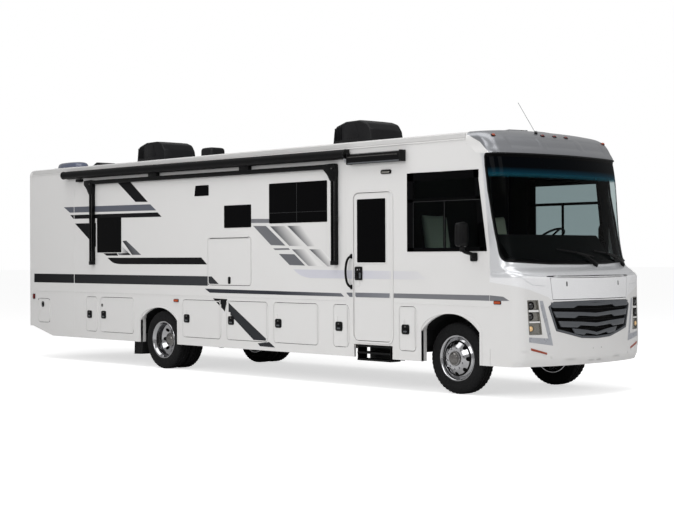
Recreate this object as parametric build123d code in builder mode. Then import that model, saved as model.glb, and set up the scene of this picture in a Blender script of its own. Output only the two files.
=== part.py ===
from build123d import *
import os

# Bus-style motorhome on a front-engined chassis. Millimetres, +X forward, +Y left, +Z up.
# The origin is on the ground under the middle of the whole vehicle. Tables of places on
# the body are measured ahead of the front axle (x) and above the ground (z).

os.makedirs("parts", exist_ok=True)

# ---- whole vehicle
body_width = 2560
wheelbase = 6400
rear_face = -10545          # outer face of the rear cap
nose_face = 1454            # foremost point of the front cap
ladder_out = 75             # rearmost point, behind the rear cap
front_axle_x = (ladder_out - rear_face - nose_face) / 2
skirt_bottom = 420
wall_top = 3340
crown_top = 3500
roof_corner_r = 100
wall_t = 40
roof_t = 45
floor_z = 1230              # top of the cabin floor
floor_t = 50

# ---- wheels and tyres
tyre_r = 475
tyre_w = 240
rim_r = 300
front_track = 1970
rear_track = 1936           # between the middles of the twin wheels
dual_spacing = 292
kingpin_y = 860
kingpin_r = 22
run_gap = 0.3               # running clearance at pins
spindle_r = 34

# ---- chassis
rail_y = 432                # outer face of each frame rail
rail_w = 76
rail_h = 230
rail_bottom = 740
rail_t = 9

half_w = body_width / 2
rear_axle = -wheelbase      # ahead of the front axle
door_gap = 8
hinge_r = 6
panel_t = 30


def save(piece, name):
    piece.part.label = name
    export_step(piece.part, f"parts/{name}.step")


def save_set(solids, name):
    """Solids that touch each other but stay separate."""
    whole = Compound(solids)
    whole.label = name
    export_step(whole, f"parts/{name}.step")


def fx(x):
    """Distance ahead of the front axle to model X."""
    return front_axle_x + x


def side_plane(side, inset=0):
    """A side wall's outer face: sketch x ahead of the front axle, sketch y up."""
    return Plane(origin=(front_axle_x, side * (half_w - inset), 0), x_dir=(1, 0, 0), z_dir=(0, -1, 0))


def lengthwise(y=0):
    return Plane(origin=(front_axle_x, y, 0), x_dir=(1, 0, 0), z_dir=(0, -1, 0))


def across(x):
    """Plane square to the vehicle: sketch x to the left, sketch y up."""
    return Plane(origin=(fx(x), 0, 0), x_dir=(0, 1, 0), z_dir=(1, 0, 0))


def level(z):
    return Plane(origin=(front_axle_x, 0, z))


def body_section(inset, top_inset, bottom):
    """Closed outline of the body across the vehicle, moved in by the wall."""
    w, top = half_w - inset, crown_top - top_inset
    with BuildLine() as edge:
        Polyline((-w, top - 66), (-w, bottom), (w, bottom), (w, top - 66))
        ThreePointArc((w, top - 66), (0, top), (-w, top - 66))
    make_face(edge.edges())


def sheet_plate(x0, x1, y0, y1, z0, z1):
    with BuildPart() as plate:
        with Locations((fx((x0 + x1) / 2), (y0 + y1) / 2, (z0 + z1) / 2)):
            Box(abs(x1 - x0), abs(y1 - y0), abs(z1 - z0))
    return plate.part.solids()[0]


def rounded_top(sketch, r):
    fillet(sketch.vertices().sort_by(Axis.Y)[-2:], r)


# ---- seam between the side walls and the front cap, bottom to top (x, z)
cap_seam = [(741, skirt_bottom), (725, 1899), (581, 2796), (548, 3053), (497, 3184), (342, 3284), (342, wall_top)]
cap_seam_top_x = cap_seam[-1][0]
rear_cap_depth = 150
rear_cap_x = rear_face + rear_cap_depth
bevel = [(rear_cap_x, 583), (-9710, skirt_bottom)]

# ---- wheel arches: x of the middle, half width, height, height where the round top starts
arch_rows = [
    # middle, half, top, spring line
    (52, 520, 1070, 830),
    (rear_axle - 44, 512, 1005, 790),
]

# ---- glazed openings: name, sides, x from, x to, z from, z to, corner radius
window_rows = [
    ("bedroom", (-1, 1), -8260, -7525, 1915, 2515, 90),
    ("vent", (-1,), -5460, -5098, 2800, 2960, 60),
    ("galley", (-1, 1), -4707, -4047, 2278, 2625, 70),
    ("lounge", (-1, 1), -3620, -2331, 2325, 2920, 80),
]
cab_window = [(-719, 1890), (690, 1890), (530, 2935), (-719, 2945)]
cab_window_r = 60
glass_t = 8
glass_inset = 2

# ---- side doors: name, side, x from, x to, z from, z to, corner radius, hinged edge, bay depth
door_rows = [
    ("right_entertainment_door", -1, -5132, -4050, 1385, 2136, 60, "top", 280),
    ("right_cord_door", -1, -10225, -9806, 655, 1095, 70, "front", 300),
    ("right_service_door", -1, -8620, -8270, 545, 1150, 60, "front", 300),
    ("right_rear_storage_door", -1, -8165, -7167, 545, 1150, 60, "front", 640),
    ("right_middle_storage_door_a", -1, -5797, -4806, 545, 1150, 60, "front", 640),
    ("right_middle_storage_door_b", -1, -4658, -3666, 545, 1150, 60, "front", 640),
    ("right_middle_storage_door_c", -1, -3529, -2534, 545, 1150, 60, "front", 640),
    ("right_battery_door", -1, -2215, -1891, 545, 1150, 60, "front", 300),
    ("right_front_service_door", -1, -890, -568, 545, 1150, 60, "front", 300),
    ("left_rear_storage_door", 1, -8165, -7167, 545, 1150, 60, "front", 640),
    ("left_middle_storage_door_a", 1, -5797, -4806, 545, 1150, 60, "front", 640),
    ("left_middle_storage_door_b", 1, -4658, -3666, 545, 1150, 60, "front", 640),
    ("left_middle_storage_door_c", 1, -3529, -2534, 545, 1150, 60, "front", 640),
]
entry = dict(x0=-1781, x1=-1016, z0=648, z1=2715, r=90)
entry_window = (-1700, -1145, 1747, 2618, 70)
step_recess = (-1781, -1016, 600)       # x from, x to, top; open down to the skirt's edge
stepwell_depth = 760
stepwell_t = 20
tread_heights = (640, 840, 1040)

# ---- front cap, a loft through level outlines: height, nose x, radius of the face, corner radius
cap_sections = [
    (skirt_bottom, 1400, 3600, 180),
    (520, 1445, 3600, 180),
    (640, nose_face, 3600, 180),
    (1262, 1440, 3600, 180),
    (1550, 1430, 3700, 175),
    (1600, 1375, 3900, 170),
    (1705, 1206, 4310, 160),
    (3130, 985, 4800, 150),
    (3290, 900, 5200, 150),
    (3400, 780, 5600, 150),
    (3470, 610, 5800, 150),
    (3520, 330, 5800, 150),
]
cap_t = 40
windshield_side = [(929, 1690), (1700, 1690), (1700, 3138), (651, 3138)]   # seen from the side
windshield_bottom = (1762, 1712)        # height at the sides and in the middle
hood = dict(z0=1262, z1=1550, half_low=780, half_top=812, r=18, panel_r=40, top_gap=14)     # the wider gap at the top lets the corners swing in
grille_outline = [(0, 1249), (765, 1240), (850, 1178), (738, 868), (300, 766), (0, 752)]     # y, z of one half
lamp_outline = [(1156, 1266), (1000, 1266), (950, 828), (1140, 828)]     # y, z


def cap_solid(inset):
    with BuildPart() as outer:
        for z, nose, face_r, corner_r in cap_sections:
            w, n, r = half_w - inset, nose - inset, face_r - inset
            sag = r - (r * r - w * w) ** 0.5
            with BuildSketch(level(z)) as outline:
                with BuildLine():
                    Polyline((n - sag, w), (-100, w), (-100, -w), (n - sag, -w))
                    ThreePointArc((n - sag, -w), (n, 0), (n - sag, w))
                make_face()
                fillet(outline.vertices().sort_by(Axis.X)[-2:], corner_r - inset)
        loft(ruled=True)
        with BuildSketch(across(-100)) as section:
            body_section(inset, inset, 300)
            rounded_top(section, roof_corner_r - inset)
        extrude(amount=2000, mode=Mode.INTERSECT)
    return outer.part


cap_outer = cap_solid(0)
cap_inner = cap_solid(cap_t)
cap_glass_inner = cap_solid(glass_inset + glass_t)
cap_glass_outer = cap_solid(glass_inset)


# ================= chassis =================
rail_front, rail_back = 1180, -10330
crossmember_x = (1060, -700, -2000, -3400, -4800, -5900, -7200, -7600, -8450, -9600, -10200)
engine_size = (1000, 640, 660)
engine_x, engine_z = 420, 970

with BuildPart() as chassis_frame:
    for side in (-1, 1):
        with BuildSketch(across(rail_back)):
            with Locations((side * (rail_y - rail_w / 2), rail_bottom + rail_h / 2)):
                Rectangle(rail_w, rail_h)
            with Locations((side * (rail_y - rail_w / 2 - rail_t), rail_bottom + rail_h / 2)):
                Rectangle(rail_w, rail_h - 2 * rail_t, mode=Mode.SUBTRACT)
        extrude(amount=rail_front - rail_back)
    for x in crossmember_x:
        with Locations((fx(x), 0, rail_bottom + rail_h - 60)):
            Box(70, 2 * (rail_y - rail_t), 100)
    for side in (-1, 1):
        with Locations((fx(engine_x), side * (rail_y + engine_size[1] / 2 - rail_t) / 2, rail_bottom + rail_h / 2)):
            Box(160, rail_y - rail_t - engine_size[1] / 2, 90)
save(chassis_frame, "chassis_frame")

with BuildPart() as engine:
    with Locations((fx(engine_x), 0, engine_z)):
        Box(*engine_size)
save(engine, "engine")

# ---- axles
spring_top = rail_bottom - 60
axle_pad_z = tyre_r + 60


def beam(x, half, z_mid, size_x, size_z):
    with Locations((fx(x), 0, z_mid)):
        Box(size_x, 2 * half, size_z)


with BuildPart() as front_axle:
    beam(0, 640, tyre_r - 10, 90, 80)
    for side in (-1, 1):
        with Locations((fx(0), side * (kingpin_y - 110), tyre_r - 10)):
            Box(90, 240, 80)
        with BuildSketch(level(tyre_r - 70)):
            with Locations((0, side * kingpin_y)):
                Circle(42)
        extrude(amount=140)
        with BuildSketch(level(tyre_r - 110)):
            with Locations((0, side * kingpin_y)):
                Circle(kingpin_r)
        extrude(amount=220)
        with Locations((fx(0), side * (rail_y - rail_w / 2), tyre_r + 45)):
            Box(200, 90, 30)
save(front_axle, "front_axle")

diff_r = 190
with BuildPart() as rear_axle_housing:
    with BuildSketch(lengthwise(rear_track / 2 - 60)):
        with Locations((rear_axle, tyre_r)):
            Circle(65)
    extrude(amount=rear_track - 120)
    with BuildSketch(lengthwise(rear_track / 2 + 40)):
        with Locations((rear_axle, tyre_r)):
            Circle(spindle_r)
    extrude(amount=rear_track + 80)
    with Locations((fx(rear_axle), 0, tyre_r)):
        Sphere(diff_r)
    for side in (-1, 1):
        with Locations((fx(rear_axle), side * (rail_y - rail_w / 2), tyre_r + 60)):
            Box(220, 90, 70)
save(rear_axle_housing, "rear_axle")


def leaf(x, half, low, high):
    """Bowed spring pack seen from the side, with its hangers up to the rail."""
    with BuildLine() as edge:
        ThreePointArc((x - half, high), (x, low), (x + half, high))
        Line((x + half, high), (x + half, high + 40))
        ThreePointArc((x + half, high + 40), (x, low + 55), (x - half, high + 40))
        Line((x - half, high + 40), (x - half, high))
    make_face(edge.edges())
    for end in (-1, 1):
        with Locations((x + end * (half - 30), (high + rail_bottom) / 2 + 10)):
            Rectangle(60, rail_bottom - high - 20)


with BuildPart() as leaf_springs:
    for side in (-1, 1):
        with BuildSketch(lengthwise(side * (rail_y - rail_w / 2) + 38)):
            leaf(0, 720, tyre_r + 60, 640)
        extrude(amount=76)
        with BuildSketch(lengthwise(side * (rail_y - rail_w / 2) + 38)):
            leaf(rear_axle, 760, tyre_r + 95, 650)
        extrude(amount=76)
save(leaf_springs, "leaf_springs")

shaft_r = 45
shaft_front = (engine_x - engine_size[0] / 2 - 3, 0, 770)
with BuildPart() as drive_shaft:
    back = Vector(fx(rear_axle), 0, tyre_r)
    ahead = Vector(fx(shaft_front[0]), 0, shaft_front[2]) - back
    with BuildSketch(Plane(origin=back + ahead.normalized() * (diff_r + run_gap), x_dir=(0, 1, 0), z_dir=ahead)):
        Circle(shaft_r)
    extrude(amount=ahead.length - diff_r - run_gap)
save(drive_shaft, "drive_shaft")

tank_h = 430
with BuildPart() as fuel_tank:
    with BuildSketch(across(-8650)) as s:
        with Locations((100, rail_bottom + rail_h - 110 - tank_h / 2)):
            RectangleRounded(480, tank_h, 60)
    extrude(amount=1250)
save(fuel_tank, "fuel_tank")

exhaust_y = -230
exhaust_z = 690
with BuildPart() as exhaust:
    with BuildSketch(across(-10150)):
        with Locations((exhaust_y, exhaust_z)):
            Circle(38)
    extrude(amount=9900)
    with BuildSketch(across(-3300)):
        with Locations((exhaust_y, exhaust_z)):
            Circle(100)
    extrude(amount=1000)
    for x in (-9600, -4800, -700):
        with Locations((fx(x), exhaust_y, (exhaust_z + rail_bottom + rail_h - 110) / 2)):
            Box(30, 20, rail_bottom + rail_h - 110 - exhaust_z)
save(exhaust, "exhaust")

# ---- knuckles, wheels and tyres
hub_r = 105
bearing_y = front_track / 2 - 15


def knuckle(side):
    with BuildPart() as piece:
        with BuildSketch(level(tyre_r - 120)):
            with Locations((0, side * kingpin_y)):
                Circle(46)
        extrude(amount=240)
        with BuildSketch(level(tyre_r - 71)):
            with Locations((0, side * (kingpin_y - 30))):
                Rectangle(140, 160)
        extrude(amount=142, mode=Mode.SUBTRACT)
        with Locations((fx(0), side * (kingpin_y + 62), tyre_r)):
            Box(80, 24, 240)
        with BuildSketch(level(tyre_r - 120)):
            with Locations((0, side * (kingpin_y + 30))):
                Rectangle(80, 60)
        extrude(amount=48)
        with BuildSketch(level(tyre_r + 72)):
            with Locations((0, side * (kingpin_y + 30))):
                Rectangle(80, 60)
        extrude(amount=48)
        with BuildSketch(level(tyre_r - 121)):
            with Locations((0, side * kingpin_y)):
                Circle(kingpin_r + run_gap)
        extrude(amount=242, mode=Mode.SUBTRACT)
        with Locations((fx(0), side * (kingpin_y + 74 + 45), tyre_r)):
            Cylinder(spindle_r, 90, rotation=(90, 0, 0))
    return piece


for side, name in ((-1, "right"), (1, "left")):
    save(knuckle(side), f"{name}_knuckle")


def rim_profile(disc, t=10):
    """Half section of one rim with its disc: (distance to the outside, radius)."""
    half = 105
    with BuildLine() as barrel:
        Polyline(
            (half, rim_r), (half, rim_r - t), (half - 40, rim_r - 28 - t), (-half + 40, rim_r - 28 - t),
            (-half, rim_r - t), (-half, rim_r), (-half + t, rim_r), (-half + 42, rim_r - 26),
            (half - 42, rim_r - 26), (half - t, rim_r), close=True,
        )
    make_face(barrel.edges())
    with BuildLine() as dish:
        Polyline((disc, 60), (disc + 22, 60), (disc + 22, 150), (66, rim_r - 31), (42, rim_r - 31), (disc, 150), close=True)
    make_face(dish.edges())


def spin_plane(x, y, side):
    """Sketch x points outwards along the axle, sketch y is the radius."""
    return Plane(origin=(fx(x), y, tyre_r), x_dir=(0, side, 0), z_dir=(side, 0, 0))


def wheel(x, rows, hub, side):
    """rows: (y of the rim's middle, which way its disc faces, disc offset)."""
    with BuildPart() as piece:
        for y, way, disc in rows:
            plane = spin_plane(x, y, side * way)
            with BuildSketch(plane):
                rim_profile(disc)
            revolve(axis=Axis(plane.origin, plane.x_dir))
            with BuildSketch(Plane(origin=plane.origin + plane.x_dir * 20, x_dir=(1, 0, 0), z_dir=plane.x_dir)):
                with PolarLocations(207, 8):
                    Circle(30)
            extrude(amount=disc + 10, mode=Mode.SUBTRACT)
        y0, y1, r = hub
        plane = spin_plane(x, 0, side)
        with BuildSketch(Plane(origin=(fx(x), side * y0, tyre_r), x_dir=(1, 0, 0), z_dir=(0, side, 0))):
            Circle(r)
            Circle(spindle_r + run_gap, mode=Mode.SUBTRACT)
        extrude(amount=y1 - y0)
        with BuildSketch(Plane(origin=(fx(x), side * (y1 - 40), tyre_r), x_dir=(1, 0, 0), z_dir=(0, side, 0))):
            Circle(70)
        extrude(amount=60, taper=20)
    return piece


def tyre(x, ys):
    with BuildPart() as piece:
        for y in ys:
            plane = spin_plane(x, y, 1)
            with BuildSketch(plane) as s:
                with BuildLine():
                    w = tyre_w / 2
                    Polyline((-w + 16, rim_r + 0.2), (w - 16, rim_r + 0.2), (w, rim_r + 90), (w - 18, tyre_r - 12), (w - 40, tyre_r), (-w + 40, tyre_r), (-w + 18, tyre_r - 12), (-w, rim_r + 90), close=True)
                make_face()
            revolve(axis=Axis(plane.origin, plane.x_dir))
    return piece


for side, name in ((-1, "right"), (1, "left")):
    fy = side * front_track / 2
    disc = dual_spacing / 2 - 22
    save(wheel(0, [(fy, 1, disc)], (front_track / 2 - 30, front_track / 2 + 165, 95), side), f"front_{name}_wheel")
    save(tyre(0, [fy]), f"front_{name}_tyre")
    outer, inner = side * (rear_track + dual_spacing) / 2, side * (rear_track - dual_spacing) / 2
    save(wheel(rear_axle, [(outer, -1, disc), (inner, 1, disc)], (rear_track / 2 - 55, rear_track / 2 + 125, 110), side), f"rear_{name}_wheels")
    save(tyre(rear_axle, [outer, inner]), f"rear_{name}_tyres")

# ================= body shell =================
leaf_t = 2.5
leaf_w = 14


def hinge_line(row):
    """Hinge of a side door as (x, z) ends of its axis."""
    name, side, x0, x1, z0, z1, r, edge, depth = row
    if edge == "front":
        return (x1 - door_gap / 2, z0 + r), (x1 - door_gap / 2, z1 - r)
    return (x0 + r, z1 - door_gap / 2), (x1 - r, z1 - door_gap / 2)


hinge_out = hinge_r + run_gap   # hinge axis outside the wall's face
entry_row = ("entry_door", -1, entry["x0"], entry["x1"], entry["z0"], entry["z1"], entry["r"], "front", 0)


def hinge_leaf(row, on_wall):
    """Flat leaf beside the hinge barrel, on the wall or on the door."""
    (xa, za), (xb, zb) = hinge_line(row)
    name, side, x0, x1, z0, z1, r, edge, depth = row
    off = (hinge_r + run_gap) if on_wall else 0
    with BuildSketch(side_plane(side)) as leaf:
        if edge == "front":
            a, b = (xa + off, xa + off + leaf_w) if on_wall else (xa - leaf_w - hinge_r, xa)
            with Locations(((a + b) / 2, (za + zb) / 2)):
                Rectangle(b - a, zb - za)
        else:
            a, b = (za + off, za + off + leaf_w) if on_wall else (za - leaf_w - hinge_r, za)
            with Locations(((xa + xb) / 2, (a + b) / 2)):
                Rectangle(xb - xa, b - a)
    extrude(leaf.sketch, amount=-side * (hinge_out if on_wall else leaf_t))


def opening_rect(x0, x1, z0, z1, r, grow=0, mode=Mode.SUBTRACT):
    with Locations(((x0 + x1) / 2, (z0 + z1) / 2)):
        RectangleRounded(x1 - x0 + 2 * grow, z1 - z0 + 2 * grow, max(r + grow, 5), mode=mode)


def arch_face(row, grow=0, mode=Mode.SUBTRACT, low=200):
    x, half, top, spring = row
    with BuildLine() as edge:
        Polyline((x + half + grow, spring), (x + half + grow, low), (x - half - grow, low), (x - half - grow, spring))
        ThreePointArc((x - half - grow, spring), (x, top + grow), (x + half + grow, spring))
    make_face(edge.edges(), mode=mode)


def side_wall(side):
    with BuildPart() as wall:
        with BuildSketch(side_plane(side)):
            with BuildLine():
                Polyline(*bevel, *cap_seam, (rear_cap_x, wall_top), close=True)
            make_face()
            for name, sides, x0, x1, z0, z1, r in window_rows:
                if side in sides:
                    opening_rect(x0, x1, z0, z1, r)
            with BuildLine():
                FilletPolyline(*cab_window, radius=cab_window_r, close=True)
            make_face(mode=Mode.SUBTRACT)
            for row in door_rows:
                if row[1] == side:
                    opening_rect(*row[2:7])
            for row in arch_rows:
                arch_face(row)
            if side == -1:
                opening_rect(entry["x0"], entry["x1"], entry["z0"], entry["z1"], entry["r"])
                x0, x1, top = step_recess
                with Locations(((x0 + x1) / 2, top / 2)):
                    Rectangle(x1 - x0, top, mode=Mode.SUBTRACT)
        extrude(amount=side * wall_t)
        for row in door_rows:
            if row[1] == side:
                hinge_leaf(row, True)
        if side == -1:
            hinge_leaf(entry_row, True)
    return wall


save(side_wall(-1), "right_wall")
save(side_wall(1), "left_wall")

with BuildPart() as roof:
    with BuildSketch(across(rear_cap_x)) as section:
        body_section(0, 0, wall_top)
        rounded_top(section, roof_corner_r)
    extrude(amount=cap_seam_top_x - rear_cap_x)
    with BuildSketch(across(rear_cap_x)) as section:
        body_section(wall_t, roof_t, wall_top - 50)
        rounded_top(section, roof_corner_r - wall_t)
    extrude(amount=cap_seam_top_x - rear_cap_x, mode=Mode.SUBTRACT)
save(roof, "roof")

rear_cap_bottom = bevel[0][1]
with BuildPart() as rear_cap:
    with BuildSketch(across(rear_face)) as section:
        body_section(0, 0, rear_cap_bottom)
        rounded_top(section, roof_corner_r)
    extrude(amount=rear_cap_depth)
    fillet(rear_cap.faces().sort_by(Axis.X)[0].edges(), 70)
    with BuildSketch(across(rear_face + wall_t)) as section:
        body_section(wall_t, roof_t, rear_cap_bottom + wall_t)
        rounded_top(section, roof_corner_r - wall_t)
    extrude(amount=rear_cap_depth, mode=Mode.SUBTRACT)
save(rear_cap, "rear_wall")

# ---- front cap, windshield, hood, grille, lamps
def side_prism(points, mode):
    with BuildSketch(lengthwise(2000)) as outline:
        with BuildLine():
            Polyline(*points, close=True)
        make_face()
    extrude(outline.sketch, amount=4000, mode=mode)


def hood_prism(mode, gap=0, top_gap=0, r=hood["r"]):
    low, top = hood["half_low"] - gap, hood["half_top"] - top_gap
    with BuildSketch(across(1000)) as outline:
        with BuildLine():
            FilletPolyline((-low, hood["z0"] + gap), (low, hood["z0"] + gap), (top, hood["z1"] - gap), (-top, hood["z1"] - gap), radius=r, close=True)
        make_face()
    extrude(outline.sketch, amount=1000, mode=mode)


def grille_prism(mode):
    with BuildSketch(across(1150)) as outline:
        with BuildLine():
            Polyline(*grille_outline, *[(-y, z) for y, z in grille_outline[-2:0:-1]], close=True)
        make_face()
    extrude(outline.sketch, amount=600, mode=mode)


def lamp_prism(side, mode):
    with BuildSketch(across(1000)) as outline:
        with BuildLine():
            Polyline(*[(side * y, z) for y, z in lamp_outline], close=True)
        make_face()
    extrude(outline.sketch, amount=600, mode=mode)


def windshield_prism(mode):
    z_side, z_mid = windshield_bottom
    with BuildSketch(across(-600)) as outline:
        with BuildLine():
            Polyline((half_w + 100, z_side), (half_w + 100, 3400), (-half_w - 100, 3400), (-half_w - 100, z_side))
            ThreePointArc((-half_w - 100, z_side), (0, z_mid), (half_w + 100, z_side))
        make_face()
    with BuildPart() as opening:
        extrude(outline.sketch, amount=2600)
        side_prism(windshield_side, Mode.INTERSECT)
    add(opening.part, mode=mode)


hood_hinge_y, hood_hinge_r, hood_barrel = 542, 8, 30
hood_axis_x, hood_axis_z = 1440, hood["z1"]
ear_t = 10

with BuildPart() as front_cap:
    add(cap_outer)
    add(cap_inner, mode=Mode.SUBTRACT)
    side_prism([(-300, 200), (cap_seam[0][0], 200), *cap_seam[:-1], (cap_seam_top_x, 3700), (-300, 3700)], Mode.SUBTRACT)
    windshield_prism(Mode.SUBTRACT)
    hood_prism(Mode.SUBTRACT)
    grille_prism(Mode.SUBTRACT)
    for side in (-1, 1):
        lamp_prism(side, Mode.SUBTRACT)
        for y in (-1, 1):
            y = side * hood_hinge_y + y * (hood_barrel / 2 + run_gap + ear_t / 2)
            with BuildSketch(lengthwise(y + ear_t / 2)):
                with BuildLine():
                    Polyline((hood_axis_x - 110, hood_axis_z + 12), (hood_axis_x - 100, hood_axis_z + 44), (hood_axis_x + 8, hood_axis_z + 8), (hood_axis_x + 8, hood_axis_z - 8), (hood_axis_x - 10, hood_axis_z - 8), (hood_axis_x - 30, hood_axis_z + 10), close=True)
                make_face()
            extrude(amount=ear_t)
save(front_cap, "front_cap")

with BuildPart() as windshield:
    add(cap_glass_outer)
    add(cap_glass_inner, mode=Mode.SUBTRACT)
    windshield_prism(Mode.INTERSECT)
save(windshield, "windshield")

with BuildPart() as hood_panel:
    add(cap_outer)
    add(cap_inner, mode=Mode.SUBTRACT)
    hood_prism(Mode.INTERSECT, door_gap, hood["top_gap"], hood["panel_r"])
    for side in (-1, 1):
        y = side * hood_hinge_y
        with BuildSketch(lengthwise(y + hood_barrel / 2)):
            with Locations((hood_axis_x, hood_axis_z)):
                Circle(hood_hinge_r)
            with BuildLine():
                Polyline((hood_axis_x - 70, hood_axis_z - 60), (hood_axis_x - 70, hood_axis_z - 24), (hood_axis_x - 4, hood_axis_z + 4), (hood_axis_x + 6, hood_axis_z - 4), (hood_axis_x - 30, hood_axis_z - 60), close=True)
            make_face()
        extrude(amount=hood_barrel)
save(hood_panel, "hood")

grille_slots = [(1110, 700, 20), (985, 690, 25), (865, 560, 30)]     # lower edge in the middle, half width, rise to the sides
with BuildPart() as grille_piece:
    add(cap_outer)
    add(cap_inner, mode=Mode.SUBTRACT)
    grille_prism(Mode.INTERSECT)
    with BuildSketch(across(1150)):
        for z, half, drop in grille_slots:
            with BuildLine():
                Polyline((-half, z + drop), (0, z), (half, z + drop), (half - 20, z + drop + 62), (0, z + 62), (-half + 20, z + drop + 62), close=True)
            make_face()
    extrude(amount=600, mode=Mode.SUBTRACT)
save(grille_piece, "grille")

with BuildPart() as lamp_openings:
    for side in (-1, 1):
        lamp_prism(side, Mode.ADD)

with BuildPart() as headlights:
    add(cap_outer)
    add(cap_inner, mode=Mode.SUBTRACT)
    add(lamp_openings.part, mode=Mode.INTERSECT)
save(headlights, "headlights")

# ---- floor pan with wheel wells and entry steps
well_t = 4
inner = half_w - wall_t
cover_h, cover_t = 180, 20
hole_x, hole_y = engine_size[0] / 2 + 30, engine_size[1] / 2 + 30
cab_floor_end = 1000
floor_panels = [  # x from, x to, y from, y to
    (rear_face + wall_t, entry["x0"], -inner, inner),
    (entry["x0"], entry["x1"], -inner + stepwell_depth, inner),
    (entry["x1"], engine_x - hole_x, -inner, inner),
    (engine_x - hole_x, engine_x + hole_x, hole_y, inner),
    (engine_x - hole_x, engine_x + hole_x, -inner, -hole_y),
    (engine_x + hole_x, cab_floor_end, -inner, inner),
]
cover_top = floor_z + cover_h
cover_panels = [  # x from, x to, y from, y to, z from, z to
    (engine_x - hole_x - cover_t, engine_x + hole_x + cover_t, -hole_y - cover_t, hole_y + cover_t, cover_top - cover_t, cover_top),
    (engine_x - hole_x - cover_t, engine_x + hole_x + cover_t, hole_y, hole_y + cover_t, floor_z, cover_top - cover_t),
    (engine_x - hole_x - cover_t, engine_x + hole_x + cover_t, -hole_y - cover_t, -hole_y, floor_z, cover_top - cover_t),
    (engine_x - hole_x - cover_t, engine_x - hole_x, -hole_y, hole_y, floor_z, cover_top - cover_t),
    (engine_x + hole_x, engine_x + hole_x + cover_t, -hole_y, hole_y, floor_z, cover_top - cover_t),
]
floor = [sheet_plate(*row, floor_z - floor_t, floor_z) for row in floor_panels] + [sheet_plate(*row) for row in cover_panels]
with BuildPart() as floor_ribs:
    for x in (-9900, -8700, -7100, -5800, -4730, -3600, -2380, -850, 1000):
        with Locations((fx(x), 0, (floor_z - floor_t + rail_bottom + rail_h) / 2)):
            Box(60, 2 * rail_y, floor_z - floor_t - rail_bottom - rail_h)
save_set([*floor, *floor_ribs.part.solids()], "floor")

step_rail_in, step_rail_w, step_slot = 20, 24, 12
step_slide_z, step_plate_t, step_depth = 575, 20, 540
step_low = 375              # underside of the lowest tread
with BuildPart() as stepwell:
    wx = entry["x1"] - entry["x0"] - 2 * stepwell_t
    d, w = stepwell_depth, stepwell_t
    t0, t1, t2 = tread_heights
    with BuildSketch(Plane(origin=(fx(entry["x0"] + w), -inner, 0), x_dir=(0, 1, 0), z_dir=(1, 0, 0))):
        with BuildLine():
            Polyline(
                (0, t0), (d / 3, t0), (d / 3, t1), (2 * d / 3, t1), (2 * d / 3, t2), (d - w, t2), (d - w, floor_z), (d, floor_z),
                (d, t2 - w), (2 * d / 3 + w, t2 - w), (2 * d / 3 + w, t1 - w), (d / 3 + w, t1 - w), (d / 3 + w, t0 - w), (0, t0 - w), close=True,
            )
        make_face()
    extrude(amount=wx)
low = tread_heights[0] - stepwell_t
stepwell_sides = [
    sheet_plate(x, x + stepwell_t, -inner, -inner + stepwell_depth, low, floor_z) for x in (entry["x0"], entry["x1"] - stepwell_t)
]
with BuildPart() as step_rails:
    for x, way in ((entry["x0"] + step_rail_in, 1), (entry["x1"] - step_rail_in, -1)):
        with Locations((fx(x + way * step_rail_w / 2), -inner + stepwell_depth / 2, (low + step_slide_z - 30) / 2)):
            Box(step_rail_w, stepwell_depth, low - step_slide_z + 30)
        with Locations((fx(x + way * (step_rail_w - step_slot / 2)), -inner + stepwell_depth / 2, step_slide_z)):
            Box(step_slot, stepwell_depth, step_plate_t + 2 * run_gap, mode=Mode.SUBTRACT)
save_set([*stepwell.part.solids(), *stepwell_sides, *step_rails.part.solids()], "entry_stepwell")

with BuildPart() as wheel_wells:
    for side in (-1, 1):
        for row in arch_rows:
            front = row is arch_rows[0]
            depth = 640 if front else 560
            grow = 40
            with BuildSketch(side_plane(side, wall_t)):
                arch_face(row, grow + well_t, Mode.ADD, 620)
                arch_face(row, grow, Mode.SUBTRACT, 400)
            extrude(amount=side * depth)
save(wheel_wells, "wheel_wells")

# ---- bays behind the side doors: sheet metal trays open to the outside, closed above by the floor
bay_t = 4
bay_plates = []
for name, side, x0, x1, z0, z1, r, edge, depth in door_rows:
    low_bay = z1 < floor_z
    xa, xb, za, zb = x0 - 15, x1 + 15, z0 - 15, floor_z - floor_t if low_bay else z1 + 15
    ya, yb = side * (half_w - wall_t), side * (half_w - wall_t - depth)
    back = yb + side * bay_t
    bay_plates.append(sheet_plate(xa, xb, back, yb, za, zb))
    bay_plates.append(sheet_plate(xa, xb, ya, back, za, za + bay_t))
    top = zb
    if not low_bay:
        top = zb - bay_t
        bay_plates.append(sheet_plate(xa, xb, ya, back, top, zb))
    for x in (xa, xb - bay_t):
        bay_plates.append(sheet_plate(x, x + bay_t, ya, back, za + bay_t, top))
save_set(bay_plates, "storage_bays")

# ---- side doors
latch_w, latch_h, latch_t = 62, 110, 6


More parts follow.
